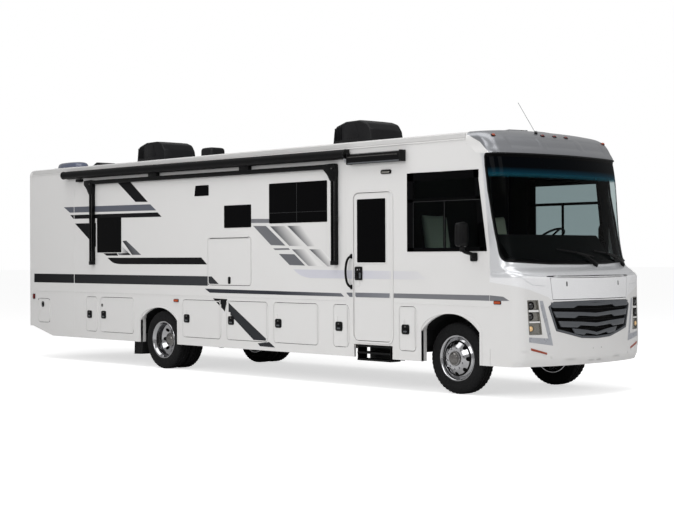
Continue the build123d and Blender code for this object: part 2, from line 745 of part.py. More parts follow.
def side_door(row):
    name, side, x0, x1, z0, z1, r, edge, depth = row
    with BuildPart() as door:
        with BuildSketch(side_plane(side)):
            opening_rect(x0, x1, z0, z1, r, -door_gap, Mode.ADD)
            if name == "entry_door":
                wx0, wx1, wz0, wz1, wr = entry_window
                opening_rect(wx0, wx1, wz0, wz1, wr)
        extrude(amount=side * panel_t)
        hinge_leaf(row, False)
        (xa, za), (xb, zb) = hinge_line(row)
        y = side * (half_w + hinge_out)
        if edge == "front":
            with BuildSketch(Plane(origin=(fx(xa), y, za))):
                Circle(hinge_r)
            extrude(amount=zb - za)
        else:
            with BuildSketch(Plane(origin=(fx(xa), y, za), x_dir=(0, 1, 0), z_dir=(1, 0, 0))):
                Circle(hinge_r)
            extrude(amount=xb - xa)
        with BuildSketch(side_plane(side)):
            if name == "entry_door":
                with Locations((x0 + 75, 1500)):
                    RectangleRounded(80, 180, 12)
            elif edge == "top":
                with Locations(((x0 + x1) / 2, z0 + 62)):
                    RectangleRounded(latch_w, latch_h, 10)
            else:
                with Locations((x0 + 68, z0 + 0.62 * (z1 - z0))):
                    RectangleRounded(latch_w, latch_h, 10)
        extrude(amount=-side * latch_t)
    return door


for row in door_rows + [entry_row]:
    save(side_door(row), row[0])

with BuildPart() as entry_glass:
    with BuildSketch(side_plane(-1, glass_inset)):
        wx0, wx1, wz0, wz1, wr = entry_window
        opening_rect(wx0, wx1, wz0, wz1, wr, 0, Mode.ADD)
    extrude(amount=-glass_t)
save(entry_glass, "entry_door_window")

with BuildPart() as side_windows:
    for side in (-1, 1):
        with BuildSketch(side_plane(side, glass_inset)):
            for name, sides, x0, x1, z0, z1, r in window_rows:
                if side in sides:
                    opening_rect(x0, x1, z0, z1, r, 0, Mode.ADD)
            with BuildLine():
                FilletPolyline(*cab_window, radius=cab_window_r, close=True)
            make_face()
        extrude(amount=side * glass_t)
save(side_windows, "side_windows")

# ---- pull-out step under the entry door, running in the stepwell's rails
with BuildPart() as entry_step:
    x0, x1, top = step_recess
    xm, wide = (x0 + x1) / 2, x1 - x0
    with Locations((fx(xm), -half_w + 20 + step_depth / 2, step_slide_z)):
        Box(wide - 2 * (step_rail_in + step_rail_w) + 2 * (step_slot - 3), step_depth, step_plate_t)
    for xe in (x0 + step_rail_in + step_rail_w + 12, x1 - step_rail_in - step_rail_w - 12):
        with Locations((fx(xe), -half_w + 110, (step_slide_z + step_low) / 2)):
            Box(10, 180, step_slide_z - step_low)
    for z in (step_low + 12, (step_low + step_slide_z) / 2 + 10):
        with Locations((fx(xm), -half_w + 110, z)):
            Box(wide - 2 * (step_rail_in + step_rail_w) - 14, 190, 24)
save(entry_step, "entry_step")

# ---- cab interior
dash_half = 1060
dash_lip, dash_brow = (430, 1640), (580, 1745)      # rear edge and top of the dashboard, side view
with BuildPart() as dashboard:
    with BuildSketch(lengthwise(dash_half)):
        with BuildLine():
            Polyline((985, floor_z), (1000, 1690), dash_brow, dash_lip, (480, 1480), (955, 1430), (955, floor_z), close=True)
        make_face()
    extrude(amount=2 * dash_half)
    with Locations((fx(engine_x + 200), 0, floor_z)):
        Box(engine_size[0] + 110, engine_size[1] + 110, 2 * cover_h + 10, mode=Mode.SUBTRACT)
save(dashboard, "dashboard")

seat_x = -560
seat_y = 620
with BuildPart() as cab_seats:
    for y in (-seat_y, seat_y):
        x = seat_x
        with BuildSketch(lengthwise(y + 260)):
            with BuildLine():
                Polyline((x - 330, 1620), (x + 250, 1640), (x + 260, 1760), (x - 190, 1740), (x - 330, 2380), (x - 460, 2390), close=True)
            make_face()
        extrude(amount=520)
        with Locations((fx(x - 40), y, (floor_z + 1625) / 2)):
            Box(360, 360, 1625 - floor_z)
save(cab_seats, "cab_seats")

# The column runs square to the wheel and ends a running gap short of the dashboard.
sw_x, sw_y, sw_z = 180, 620, 2070
sw_tilt = 35
sw_r = 225
turn = Vector(-1, 0, 0).rotate(Axis.Y, 90 - sw_tilt)
sw_plane = Plane(origin=(fx(sw_x), sw_y, sw_z), x_dir=(0, 1, 0), z_dir=turn)
lip, brow = Vector(fx(dash_lip[0]), sw_y, dash_lip[1]), Vector(fx(dash_brow[0]), sw_y, dash_brow[1])
face_normal = (brow - lip).cross(Vector(0, -1, 0)).normalized()
column = abs((sw_plane.origin - lip).dot(face_normal) / turn.dot(face_normal)) - 0.6
with BuildPart() as steering_wheel:
    with BuildSketch(Plane(origin=sw_plane.origin + sw_plane.x_dir * sw_r, x_dir=sw_plane.x_dir, z_dir=sw_plane.y_dir)):
        Circle(15)
    revolve(axis=Axis(sw_plane.origin, sw_plane.z_dir))
    with BuildSketch(sw_plane):
        Circle(60)
        with PolarLocations(sw_r / 2, 4):
            Rectangle(sw_r, 30)
    extrude(amount=8, both=True)
    with BuildSketch(sw_plane):
        Circle(30)
    extrude(amount=-column)
save(steering_wheel, "steering_wheel")

# ---- roof fittings, trimmed to the crown
def trim_to_roof():
    with BuildSketch(across(rear_face)) as section:
        body_section(0, -run_gap, 300)
    extrude(section.sketch, amount=nose_face - rear_face, mode=Mode.SUBTRACT)


ac_rows = [-2700, -7880]        # middles
ac_half_w = 320
ac_side = [(-500, -60), (-500, 240), (-470, 330), (-120, 376), (180, 360), (380, 290), (480, 150), (505, -60)]     # x, height over the crown
with BuildPart() as air_conditioners:
    for x in ac_rows:
        with BuildSketch(lengthwise()) as section:
            with BuildLine():
                Polyline(*[(x + dx, crown_top + h) for dx, h in ac_side], close=True)
            make_face()
        extrude(section.sketch, amount=ac_half_w, both=True, taper=8)
    trim_to_roof()
save(air_conditioners, "air_conditioners")

# x, y, length, width, height over the crown, taper
fitting_rows = [(-6640, 0, 330, 270, 200, 5, 60), (-9890, 0, 400, 400, 112, 30, 130), (-9865, -740, 690, 350, 96, 18, 70)]      # x, y, length, width, height, side slope, corner radius
antenna_foot, antenna_tip, antenna_r = (700, -300, 3440), (398, -300, 3874), 4
with BuildPart() as roof_fittings:
    for x, y, lx, ly, h, taper, corner in fitting_rows:
        with BuildSketch(Plane(origin=(fx(x), y, crown_top - 60))):
            RectangleRounded(lx, ly, corner)
        extrude(amount=h + 60, taper=taper)
    trim_to_roof()
    foot, tip = (Vector(fx(x), y, z) for x, y, z in (antenna_foot, antenna_tip))
    with BuildSketch(Plane(origin=foot - (tip - foot).normalized() * 60, z_dir=tip - foot)) as whip:
        Circle(antenna_r)
    extrude(whip.sketch, amount=(tip - foot).length + 60)
    with BuildSketch(Plane(origin=foot - (tip - foot).normalized() * 60, z_dir=tip - foot)) as base:
        Circle(14)
    extrude(base.sketch, amount=100)
    add(cap_outer, mode=Mode.SUBTRACT)
save(roof_fittings, "roof_fittings")

# ---- awnings
awning = dict(x0=-9283, x1=-1855, y=1370, z=3266, r=72)
lead_rail = [(-8450, 3162), (-2085, 3114)]      # x, z of its ends
with BuildPart() as patio_awning:
    with BuildSketch(Plane(origin=(fx(awning["x0"]), -awning["y"], awning["z"]), x_dir=(0, 1, 0), z_dir=(1, 0, 0))):
        Circle(awning["r"])
    extrude(amount=awning["x1"] - awning["x0"])
    for x in (-8365, -2140):
        with Locations((fx(x), -half_w - 30, (1705 + 3240) / 2)):
            Box(90, 60, 3240 - 1705)
    (xa, za), (xb, zb) = lead_rail
    for (x, z), (dx, dz) in (((xa, za), (xb - xa, zb - za)),):
        with BuildSketch(Plane(origin=(fx(x), -half_w - 52, z), x_dir=(0, 1, 0), z_dir=(dx, 0, dz))):
            RectangleRounded(52, 66, 16)
        extrude(amount=(dx * dx + dz * dz) ** 0.5)
save(patio_awning, "patio_awning")

with BuildPart() as door_awning:
    with BuildSketch(Plane(origin=(fx(-1816), -half_w - 55, 3196), x_dir=(0, 1, 0), z_dir=(1, 0, 0))):
        RectangleRounded(110, 165, 40)
    extrude(amount=1120)
save(door_awning, "door_awning")

# ---- mirrors, wipers, rear fittings
mirror = dict(x=467, y=1500, z=2100, w=190, h=325, t=100)
with BuildPart() as mirrors:
    for side in (-1, 1):
        with Locations((fx(mirror["x"]), side * (mirror["y"]), mirror["z"])):
            Box(mirror["t"], mirror["w"], mirror["h"])
        with Locations((fx(mirror["x"] + 15), side * (half_w + 110), 1880)):
            Box(50, 220, 40)
        with Locations((fx(mirror["x"]), side * (mirror["y"]), 1915)):
            Box(50, 50, 110)
        with Locations((fx(mirror["x"] + 15), side * (half_w + 12), 1812)):
            Box(120, 24, 116)
        with Locations((fx(mirror["x"] + 15), side * (half_w + 40), 1850)):
            Box(50, 80, 60)
save(mirrors, "mirrors")

with BuildPart() as tail_lights:
    for side in (-1, 1):
        with BuildSketch(Plane(origin=(fx(rear_face), side * 1080, 1250), x_dir=(0, 1, 0), z_dir=(-1, 0, 0))):
            RectangleRounded(120, 420, 20)
        extrude(amount=18)
save(tail_lights, "tail_lights")

ladder_y = 760
with BuildPart() as ladder:
    for y in (ladder_y - 190, ladder_y + 190):
        with BuildSketch(Plane(origin=(fx(rear_face - ladder_out + 13), y, 900))):
            Circle(13)
        extrude(amount=2500)
        for z in (910, 2100, 3390):
            with BuildSketch(Plane(origin=(fx(rear_face), y, z), x_dir=(0, 1, 0), z_dir=(-1, 0, 0))):
                Circle(13)
            extrude(amount=ladder_out - 13)
    for z in range(1000, 3350, 290):
        with BuildSketch(Plane(origin=(fx(rear_face - ladder_out + 13), ladder_y - 190, z), x_dir=(1, 0, 0), z_dir=(0, 1, 0))):
            Circle(11)
        extrude(amount=380)
save(ladder, "ladder")

receiver_bore, receiver_z, receiver_pin = 51, 540, 64
with BuildPart() as hitch_receiver:
    with Locations((fx(rear_face + 170), 0, receiver_z)):
        Box(300, 70, 70)
    with Locations((fx(rear_face + 160), 0, receiver_z)):
        Box(320, receiver_bore, receiver_bore, mode=Mode.SUBTRACT)
    with BuildSketch(lengthwise(50)):
        with Locations((rear_face + receiver_pin, receiver_z)):
            Circle(8)
    extrude(amount=100, mode=Mode.SUBTRACT)
    with Locations((fx(rear_face + 260), 0, receiver_z + 35 + 45)):
        Box(90, 2 * (rail_y - rail_t), 90)
    for side in (-1, 1):
        with Locations((fx(rear_face + 260), side * (rail_y - rail_w / 2), (receiver_z + 80 + rail_bottom) / 2)):
            Box(90, rail_w - 2 * rail_t, rail_bottom - receiver_z - 80)
save(hitch_receiver, "hitch_receiver")

wiper_rows = [(1215, 300, 0), (1102, 1060, 10)]     # pivot x and y, how far the blade turns back, degrees
with BuildPart() as wipers:
    for x, y, turn_back in wiper_rows:
        with Locations((fx(x), y, 1712)):
            Box(110, 44, 60)
        with Locations(Location((fx(x + 10), y, 1742), (0, 0, turn_back))):
            with Locations((0, -290, 0)):
                Box(26, 620, 16)
    add(cap_outer, mode=Mode.SUBTRACT)
save(wipers, "wipers")
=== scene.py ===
import math

import bpy
import bmesh
import numpy as np
from mathutils import Matrix, Vector
from mathutils.geometry import delaunay_2d_cdt


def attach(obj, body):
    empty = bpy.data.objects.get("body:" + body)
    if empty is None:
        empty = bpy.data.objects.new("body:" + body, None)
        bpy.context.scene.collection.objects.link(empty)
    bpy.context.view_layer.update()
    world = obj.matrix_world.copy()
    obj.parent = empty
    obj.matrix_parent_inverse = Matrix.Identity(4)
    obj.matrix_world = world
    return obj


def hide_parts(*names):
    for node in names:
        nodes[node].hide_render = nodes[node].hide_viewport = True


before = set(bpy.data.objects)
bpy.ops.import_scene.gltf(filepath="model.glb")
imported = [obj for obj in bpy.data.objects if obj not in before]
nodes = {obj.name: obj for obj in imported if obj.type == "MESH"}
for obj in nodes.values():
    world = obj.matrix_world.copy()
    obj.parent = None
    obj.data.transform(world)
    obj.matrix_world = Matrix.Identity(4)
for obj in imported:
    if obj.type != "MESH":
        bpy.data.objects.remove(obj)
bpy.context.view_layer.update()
link = bpy.context.scene.collection.objects.link

AX = 4.583  # front axle, metres ahead of the origin
HALF = 1280  # half the body's width, mm
WALL = 1281  # where fittings on the side start, mm
WHEEL_R = 475
SHARP = math.radians(35)  # edges sharper than this stay hard
BEVELLED = math.radians(40)  # edges sharper than this are bevelled
SIDES = (-1, "right"), (1, "left")


def P(x, y, z):
    """mm ahead of the front axle, left and up, to metres in the row frame."""
    return Vector((AX + x / 1000, y / 1000, z / 1000))


# ---------------------------------------------------------------- materials
def lin(c):
    """sRGB 0..255 to linear."""
    return tuple((v / 255 / 12.92) if v <= 10 else ((v / 255 + 0.055) / 1.055) ** 2.4 for v in c)


SOCKETS = {"spec": "Specular IOR Level", "coat": "Coat Weight", "sheen": "Sheen Weight"}


class Nodes:
    """A material's node tree with short calls."""

    def __init__(self, name, slot=None):
        self.m = bpy.data.materials.new(name)
        self.m.use_nodes = True
        self.t = self.m.node_tree
        self.b = self.t.nodes["Principled BSDF"]
        self.xyz = self.t.nodes.new("ShaderNodeTexCoord").outputs["Object"]

    def new(self, kind, links=(), **settings):
        n = self.t.nodes.new("ShaderNode" + kind)
        for k, v in settings.items():
            setattr(n, k, v)
        for key, value in links:
            self.put(n.inputs[key], value)
        return n

    def put(self, socket, value):
        if isinstance(value, bpy.types.NodeSocket):
            self.t.links.new(value, socket)
        else:
            socket.default_value = value

    def noise(self, scale, detail=3):
        links = [("Vector", self.xyz), ("Scale", scale), ("Detail", detail), ("Roughness", 0.5)]
        return self.new("TexNoise", links).outputs["Fac"]

    def height(self):
        return self.new("SeparateXYZ", [("Vector", self.xyz)]).outputs["Z"]

    def math(self, operation, a, b, **settings):
        return self.new("Math", [(0, a), (1, b)], operation=operation, **settings).outputs[0]

    def span(self, value, a, b, lo=0.3, hi=0.7):
        """value from lo..hi to a..b."""
        ends = zip(("From Min", "From Max", "To Min", "To Max"), (lo, hi, a, b))
        return self.new("MapRange", [("Value", value), *ends]).outputs[0]

    def mix(self, fac, a, b):
        n = self.new("Mix", data_type="RGBA")
        self.put(n.inputs["Factor"], fac)
        for socket, c in (("A", a), ("B", b)):
            self.put(n.inputs[socket], c if isinstance(c, bpy.types.NodeSocket) else (*c[:3], 1))
        return n.outputs["Result"]

    def ramp(self, value, stops):
        """A colour ramp of first, last and middle sRGB colour and the middle's place."""
        n = self.new("ValToRGB", [("Fac", value)])
        e = n.color_ramp.elements
        e[0].color, e[1].color = (*lin(stops[0]), 1), (*lin(stops[1]), 1)
        e.new(stops[3]).color = (*lin(stops[2]), 1)
        return n.outputs[0]

    def bump(self, height, strength, distance=0.002):
        n = self.new("Bump", [("Height", height), ("Strength", strength), ("Distance", distance)])
        self.t.links.new(n.outputs[0], self.b.inputs["Normal"])

    def set(self, **values):
        for k, v in values.items():
            self.put(self.b.inputs[SOCKETS.get(k, k.replace("_", " "))], v)

    def pane(self, seen, ior):
        """What seen makes, with gloss on top in place of the usual shader."""
        shine = self.new("BsdfGlossy", [("Color", (1, 1, 1, 1)), ("Roughness", 0.02)])
        fresnel = self.new("Fresnel", [("IOR", ior)])
        m = self.new("MixShader", [(0, fresnel.outputs[0]), (1, seen.outputs[0]), (2, shine.outputs[0])])
        self.t.nodes.remove(self.b)
        self.t.links.new(m.outputs[0], self.t.nodes["Material Output"].inputs["Surface"])
        return self.m


def plain(name, slot, rgb, rough, vary=0.08, scale=12, grain=0.15, grain_scale=400, metal=0.0, **more):
    """A material with mottled colour, uneven gloss and a fine surface grain."""
    n = Nodes(name, slot)
    low, high = [v * (1 - vary) for v in lin(rgb)], [min(v * (1 + vary), 1) for v in lin(rgb)]
    n.set(Base_Color=n.mix(n.noise(scale, 4), low, high))
    n.set(Metallic=metal, Roughness=n.span(n.noise(scale * 3), rough * 0.85, min(rough * 1.15, 1)))
    if grain:
        n.bump(n.noise(grain_scale, 2), grain, 0.0006)
    n.set(**more)
    return n.m


def gelcoat(name, rgb, slot):
    """Gloss white fibreglass: faint waviness, darker in patches towards the bottom."""
    n = Nodes(name, slot)
    z = n.height()
    clean = n.mix(n.noise(0.6, 2), [v * 0.985 for v in lin(rgb)], [v * 1.015 for v in lin(rgb)])
    # darker, browner patches towards the bottom
    low_down, spots = n.span(z, 0.18, 0.0, 0.42, 0.95), n.span(n.noise(5, 5), 0.0, 0.35)
    darker_low = n.math("MULTIPLY", low_down, spots, use_clamp=True)
    n.set(Base_Color=n.mix(darker_low, clean, lin((196, 190, 182))), Roughness=n.span(n.noise(2.5, 2), 0.2, 0.27))
    n.set(coat=0.35, Coat_Roughness=0.06)
    n.bump(n.noise(9, 2), 0.015, 0.004)
    return n.m


def metallic(name, dark, light, metal, rough, coat=0.6, coat_rough=0.04):
    """Paint with fine flakes."""
    n = Nodes(name, "silver_paint")
    n.set(Base_Color=n.mix(n.noise(900, 1), lin(dark), lin(light)), Metallic=metal)
    n.set(Roughness=n.span(n.noise(700, 1), *rough), coat=coat, Coat_Roughness=coat_rough)
    return n.m


def vinyl(name, rgb):
    return plain(name, "awning_black", rgb, 0.5, 0.04, 0.7, 0.0, spec=0.06)


def faded(name, dark, light, x0, x1, slope=1.02, z0=2280):
    """Vinyl that runs from dark to light across a slanted stripe, x0 to x1 at height z0."""
    n = Nodes(name, "awning_black")
    s = n.new("SeparateXYZ", [("Vector", n.xyz)]).outputs
    along = n.math("ADD", s["X"], n.math("MULTIPLY", s["Z"], slope))
    base = AX + x0 / 1000 + slope * z0 / 1000
    f = n.span(along, 0.0, 1.0, base, base + (x1 - x0) / 1000)
    n.set(Base_Color=n.mix(f, lin(dark), lin(light)), Roughness=n.span(n.noise(0.8, 2), 0.46, 0.54), spec=0.06)
    return n.m


def screen_material():
    """Windshield: clear with a sunshade band that fades from black through teal."""
    n = Nodes("screen_glass", "glass_clear")
    z = n.height()
    tint = n.ramp(n.span(z, 0.0, 1.0, 2.84, 2.95), ((206, 214, 214), (26, 30, 34), (70, 112, 120), 0.45))
    clear = n.new("BsdfTransparent", [("Color", tint)])
    band = n.ramp(n.span(z, 0.0, 1.0, 2.83, 2.96), ((34, 104, 122), (3, 5, 8), (10, 44, 58), 0.5))
    shade = n.new("BsdfDiffuse", [("Color", band)])
    share = n.span(z, 0.0, 0.97, 2.83, 2.9)
    return n.pane(n.new("MixShader", [(0, share), (1, clear.outputs[0]), (2, shade.outputs[0])]), 1.1)


white = gelcoat("gelcoat_white", (224, 223, 222), "body_paint")
silver = metallic("silver_metallic", (212, 213, 216), (228, 229, 231), 0.42, (0.26, 0.36))
# a lighter copy of the silver for the hood and the skin beside it: painted highlight
silver_painted_highlight = metallic("silver_painted_highlight", (236, 236, 238), (247, 247, 248), 0.12, (0.22, 0.3))
# a darker copy of the silver for the forehead, which faces away from the light: painted shade
brow_silver_painted_shade = metallic("silver_painted_shade", (130, 131, 135), (154, 156, 160), 0.7, (0.3, 0.42), 0.5, 0.06)
roof_white = plain("roof_membrane", "roof_skin", (204, 203, 202), 0.45, 0.03, 3)
chassis = plain("chassis_black", "chassis_black", (26, 26, 27), 0.6, 0.3, 6, 0.3, 120)
cast = plain("cast_iron", "cast", (58, 56, 54), 0.75, 0.25, 12, 0.5, 180, 0.5)
steel = plain("galvanised", "galvanised", (128, 130, 132), 0.42, 0.15, 25, metal=0.9)
gloss = plain("black_gloss", "awning_black", (9, 9, 10), 0.2, 0.1, grain=0.02, spec=0.16)
satin = plain("black_satin", "black_plastic", (12, 12, 13), 0.42, 0.15, grain=0.12, spec=0.15)
matt = plain("black_matt", "liner", (9, 9, 9), 0.8, 0.2, grain=0.3, spec=0.08)
liner = plain("liner", "liner", (26, 26, 27), 0.85, 0.15, 4, 0.3, spec=0.12)
# dark cab lining: trim, darkened further to paint the shade inside the cab, so partly painted shade
lining_painted_shade = plain("cab_lining_painted_shade", "liner", (34, 34, 35), 0.85, 0.15, 5, 0.2, 300, spec=0.15)
grey = plain("grille_grey", "grille_plastic", (86, 89, 93), 0.34, 0.06, 30, 0.08, metal=0.25)
trim_grey = plain("lamp_trim_grey", "grille_plastic", (170, 172, 178), 0.3, 0.02, 3, 0.0, metal=0.25)
line_mat = plain("glass_line", "black_plastic", (30, 31, 33), 0.3, grain=0.05)
shroud = plain("ac_shroud", "black_plastic", (15, 15, 17), 0.42, 0.25, 9, 0.06, 220, spec=0.22)
rubber = plain("rubber", "tyre", (20, 20, 21), 0.8, 0.2, 15, 0.35, 250, spec=0.2)
chrome = plain("polished_alloy", "alloy", (178, 178, 180), 0.13, 0.03, 20, 0.03, metal=1.0)
dull = plain("polished_shade", "alloy", (120, 118, 116), 0.25, 0.2, 30, 0.1, metal=1.0)
alloy_satin = plain("ladder_alloy", "ladder_alloy", (196, 198, 202), 0.3, 0.05, 40, metal=0.9)
carpet = plain("floor_vinyl", "floor_mat", (120, 112, 104), 0.7, 0.15, 40)
dash_mat = plain("dash_plastic", "dash_plastic", (17, 17, 18), 0.7, 0.1, grain=0.35, grain_scale=500, spec=0.15)
seat_cloth = plain("seat_cloth_sage", "seat_cloth", (216, 219, 196), 0.9, 0.1, 6, 0.3, 500, sheen=0.3)
fabric = Nodes("awning_roll", "awning_black")
weave = [("Vector", fabric.xyz), ("Scale", 60.0), ("Distortion", 0.4)]
weave = fabric.new("TexWave", weave, wave_type="BANDS", bands_direction="Z").outputs["Fac"]
fabric.set(Base_Color=fabric.mix(weave, lin((5, 5, 6)), lin((11, 11, 12))), Roughness=0.45, spec=0.12)
fabric.bump(weave, 0.25)
dark_glass = plain("privacy_glass", "glass_dark", (4, 4, 5), 0.06, 0.1, grain=0.0, spec=0.05)
frit = plain("black_glass_frame", "glass_dark", (5, 5, 6), 0.12, 0.1, grain=0.0, spec=0.05)
tinted = Nodes("cab_glass", "glass_clear")
cab_glass = tinted.pane(tinted.new("BsdfTransparent", [("Color", (*lin((196, 204, 205)), 1))]), 1.1)
screen_glass = screen_material()
dome = Nodes("dome", "black_plastic")
dome.set(Base_Color=dome.mix(dome.noise(3), lin((70, 76, 96)), lin((92, 98, 118))), Roughness=0.18, coat=0.6)
dome.bump(dome.noise(30), 0.05)

amber = plain("amber_lens", "lamp", (170, 66, 26), 0.2, 0.15, 60, coat=0.3)
red = plain("red_lens", "lamp", (104, 18, 16), 0.2, 0.2, 60, coat=0.3)
amber_clear = plain("amber_bulb", "lamp", (236, 196, 140), 0.15, 0.2, 50, coat=0.5)
amber_deep = plain("amber_reflector", "lamp", (150, 62, 38), 0.3, 0.2, 160)
cream = plain("lamp_reflector", "lamp", (150, 148, 142), 0.2, 0.06, 20, metal=0.75, coat=0.4)
lens_black = plain("projector_black", "lamp", (12, 12, 13), 0.08, 0.2, grain=0, coat=0.5)

ink = vinyl("vinyl_black", (22, 22, 24))
charcoal = vinyl("vinyl_charcoal", (50, 51, 54))
mid_grey = vinyl("vinyl_grey", (120, 121, 125))
slate = vinyl("vinyl_slate", (97, 100, 109))


# ---------------------------------------------------------------- shapes
def own(o, body, node=None):
    """Link an object, the body it rides on and the CAD node it stands for."""
    link(o)
    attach(o, body)
    if node:
        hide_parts(node)
    return o


def piece(verts, faces, mat, smooth=None, bevel=0.0, name="part", body="vehicle", segments=2, node=None):
    """A mesh as an object: smooth is the angle of its hard edges in degrees, bevel is in mm."""
    me = bpy.data.meshes.new(name)
    me.from_pydata([tuple(v) for v in verts], [], faces)
    me.validate()
    bm = bmesh.new()
    bm.from_mesh(me)
    bmesh.ops.recalc_face_normals(bm, faces=bm.faces)
    bm.to_mesh(me)
    bm.free()
    me.materials.append(mat)
    if smooth is not None or bevel:
        for f in me.polygons:
            f.use_smooth = True
        me.set_sharp_from_angle(angle=math.radians(smooth) if smooth else SHARP)
    o = bpy.data.objects.new(name, me)
    if bevel:
        b = o.modifiers.new("edges", "BEVEL")
        b.width, b.segments, b.limit_method = bevel / 1000, segments, "ANGLE"
        b.angle_limit, b.harden_normals = BEVELLED, True
    return own(o, body, node)


def strip(rows, n, closed=True, loop=False, base=0):
    """Faces between rows of n points; closed joins each row's ends, loop the last row to the first."""
    def at(r, i):
        return base + r % rows * n + i % n
    return [[at(r, i), at(r, i + 1), at(r + 1, i + 1), at(r + 1, i)]
            for r in range(rows - (not loop)) for i in range(n - (not closed))]


def loft(rows, mat, smooth=None, bevel=0.0, caps=True, loop=False, closed=True, **more):
    """A skin through rows of as many points each."""
    n, m = len(rows[0]), len(rows)
    ends = [list(range(n))[::-1], list(range((m - 1) * n, m * n))] if caps else []
    return piece([p for row in rows for p in row], ends + strip(m, n, closed, loop), mat, smooth, bevel, **more)


PLANES = {
    "side": lambda a, b, d: P(a, d, b),  # outline x, z; depth y
    "front": lambda a, b, d: P(d, a, b),  # outline y, z; depth x
    "top": lambda a, b, d: P(a, b, d),  # outline x, y; depth z
}


def slab(outline, d0, d1, mat, bevel=0.0, plane="side", **more):
    """A flat outline with thickness."""
    return loft([[PLANES[plane](a, b, d) for a, b in outline] for d in (d0, d1)], mat, bevel=bevel, **more)


def ring(outer, inner, d0, d1, mat, bevel=0.0, plane="side", **more):
    """A flat frame between two outlines of as many points."""
    rows = (outer, d0), (outer, d1), (inner, d1), (inner, d0)
    rows = [[PLANES[plane](a, b, d) for a, b in o] for o, d in rows]
    return loft(rows, mat, 35, bevel, caps=False, loop=True, **more)


def rect(x0, x1, z0, z1):
    return [(x0, z0), (x1, z0), (x1, z1), (x0, z1)]


def rounded(x0, x1, z0, z1, r, n=6):
    """Rounded rectangle as points, counter-clockwise."""
    pts = []
    for cx, cz, a in ((x1 - r, z1 - r, 0), (x0 + r, z1 - r, 90), (x0 + r, z0 + r, 180), (x1 - r, z0 + r, 270)):
        for i in range(n + 1):
            t = math.radians(a + 90 * i / n)
            pts.append((cx + r * math.cos(t), cz + r * math.sin(t)))
    return pts


def filleted(pts, r, n=6):
    """A polygon with its corners rounded by r, or by a list of radii."""
    out = []
    for i, b in enumerate(pts):
        rr = r[i] if isinstance(r, (list, tuple)) else r
        a, b, c = Vector(pts[i - 1]), Vector(b), Vector(pts[(i + 1) % len(pts)])
        if rr <= 0:
            out.append(tuple(b))
            continue
        u, v = (a - b).normalized(), (c - b).normalized()
        reach = min(rr / math.tan(u.angle(v) / 2), (a - b).length * 0.49, (c - b).length * 0.49)
        p, q = b + u * reach, b + v * reach
        for k in range(n + 1):
            t = k / n
            out.append(tuple((1 - t) ** 2 * p + 2 * t * (1 - t) * b + t * t * q))
    return out


def lathe(profile, centre, axis, mat, steps=48, closed=False, **more):
    """profile: (distance along axis, radius) in mm, spun about axis through centre."""
    axis = Vector(axis).normalized()
    u = axis.orthogonal().normalized()
    v = axis.cross(u)
    turns = [2 * math.pi * i / steps for i in range(steps)]
    rows = [[centre + axis * d / 1000 + (u * math.cos(a) + v * math.sin(a)) * r / 1000 for d, r in profile]
            for a in turns]
    return loft(rows, mat, 35, caps=False, loop=True, closed=closed, **more)


def tube(pts, r, mat, kind="NURBS", name="part", sides=4):
    """A round bar along points in the row frame, metres; kind LOOP closes it."""
    cu = bpy.data.curves.new(name, "CURVE")
    cu.dimensions = "3D"
    cu.bevel_depth, cu.bevel_resolution, cu.use_fill_caps = r / 1000, sides, kind != "LOOP"
    s = cu.splines.new("POLY" if kind == "LOOP" else kind)
    s.points.add(len(pts) - 1)
    for q, p in zip(s.points, pts):
        q.co = (*p, 1)
    if kind == "NURBS":
        s.order_u, s.use_endpoint_u = 3, True
    s.use_cyclic_u = kind == "LOOP"
    cu.materials.append(mat)
    return own(bpy.data.objects.new(name, cu), "vehicle")


def join(name, made, body="vehicle", node=None):
    """Make one piece of several, each face keeping its material."""
    verts, faces, mats, idx, smooth = [], [], [], [], []
    for o in made:
        base = len(verts)
        me = o.data
        if o.type == "CURVE" or len(o.modifiers):
            graph = bpy.context.evaluated_depsgraph_get()
            me = bpy.data.meshes.new_from_object(o.evaluated_get(graph))
        verts += [tuple(v.co) for v in me.vertices]
        mats += [m for m in me.materials if m not in mats]
        for f in me.polygons:
            faces.append([base + v for v in f.vertices])
            idx.append(mats.index(me.materials[f.material_index]))
            smooth.append(f.use_smooth)
    new = bpy.data.meshes.new(name)
    new.from_pydata(verts, [], faces)
    for m in mats:
        new.materials.append(m)
    new.polygons.foreach_set("material_index", idx)
    new.polygons.foreach_set("use_smooth", smooth)
    new.set_sharp_from_angle(angle=SHARP)
    for o in made:
        bpy.data.objects.remove(o)
    return own(bpy.data.objects.new(name, new), body, node)


# ---------------------------------------------------------------- side tables, mm: x ahead of the front axle, z up
BIG_DOORS = [  # name, x0, x1, latch x, latch z; on both sides
    ("rear_storage_door", -8165, -7167, -8064, 844),
    ("middle_storage_door_a", -5797, -4806, -5681, 847),
    ("middle_storage_door_b", -4658, -3666, -4543, 847),
    ("middle_storage_door_c", -3529, -2534, -3416, 838),
]
DOORS = [  # body, side, x0, x1, z0, z1, corner radius, latch x, latch z
    ("right_entertainment_door", -1, -5132, -4050, 1385, 2136, 60, None, None),
    ("right_cord_door", -1, -10225, -9806, 655, 1095, 70, None, None),
    ("right_service_door", -1, -8620, -8270, 545, 1150, 60, -8503, 842),
    *[(f"right_{n}", -1, x0, x1, 545, 1150, 60, lx, lz) for n, x0, x1, lx, lz in BIG_DOORS],
    ("right_battery_door", -1, -2215, -1891, 545, 1150, 60, -2088, 837),
    ("right_front_service_door", -1, -890, -568, 545, 1150, 60, -765, 837),
    *[(f"left_{n}", 1, x0, x1, 545, 1150, 60, lx, lz) for n, x0, x1, lx, lz in BIG_DOORS],
    ("entry_door", -1, -1781, -1016, 648, 2715, 90, None, None),
]
WINDOWS = [(-8260, -7525, 1915, 2515), (-4707, -4047, 2278, 2625), (-3620, -2331, 2325, 2920)]  # x0, x1, z0, z1
GAP = 8  # between a door and the wall round it, mm


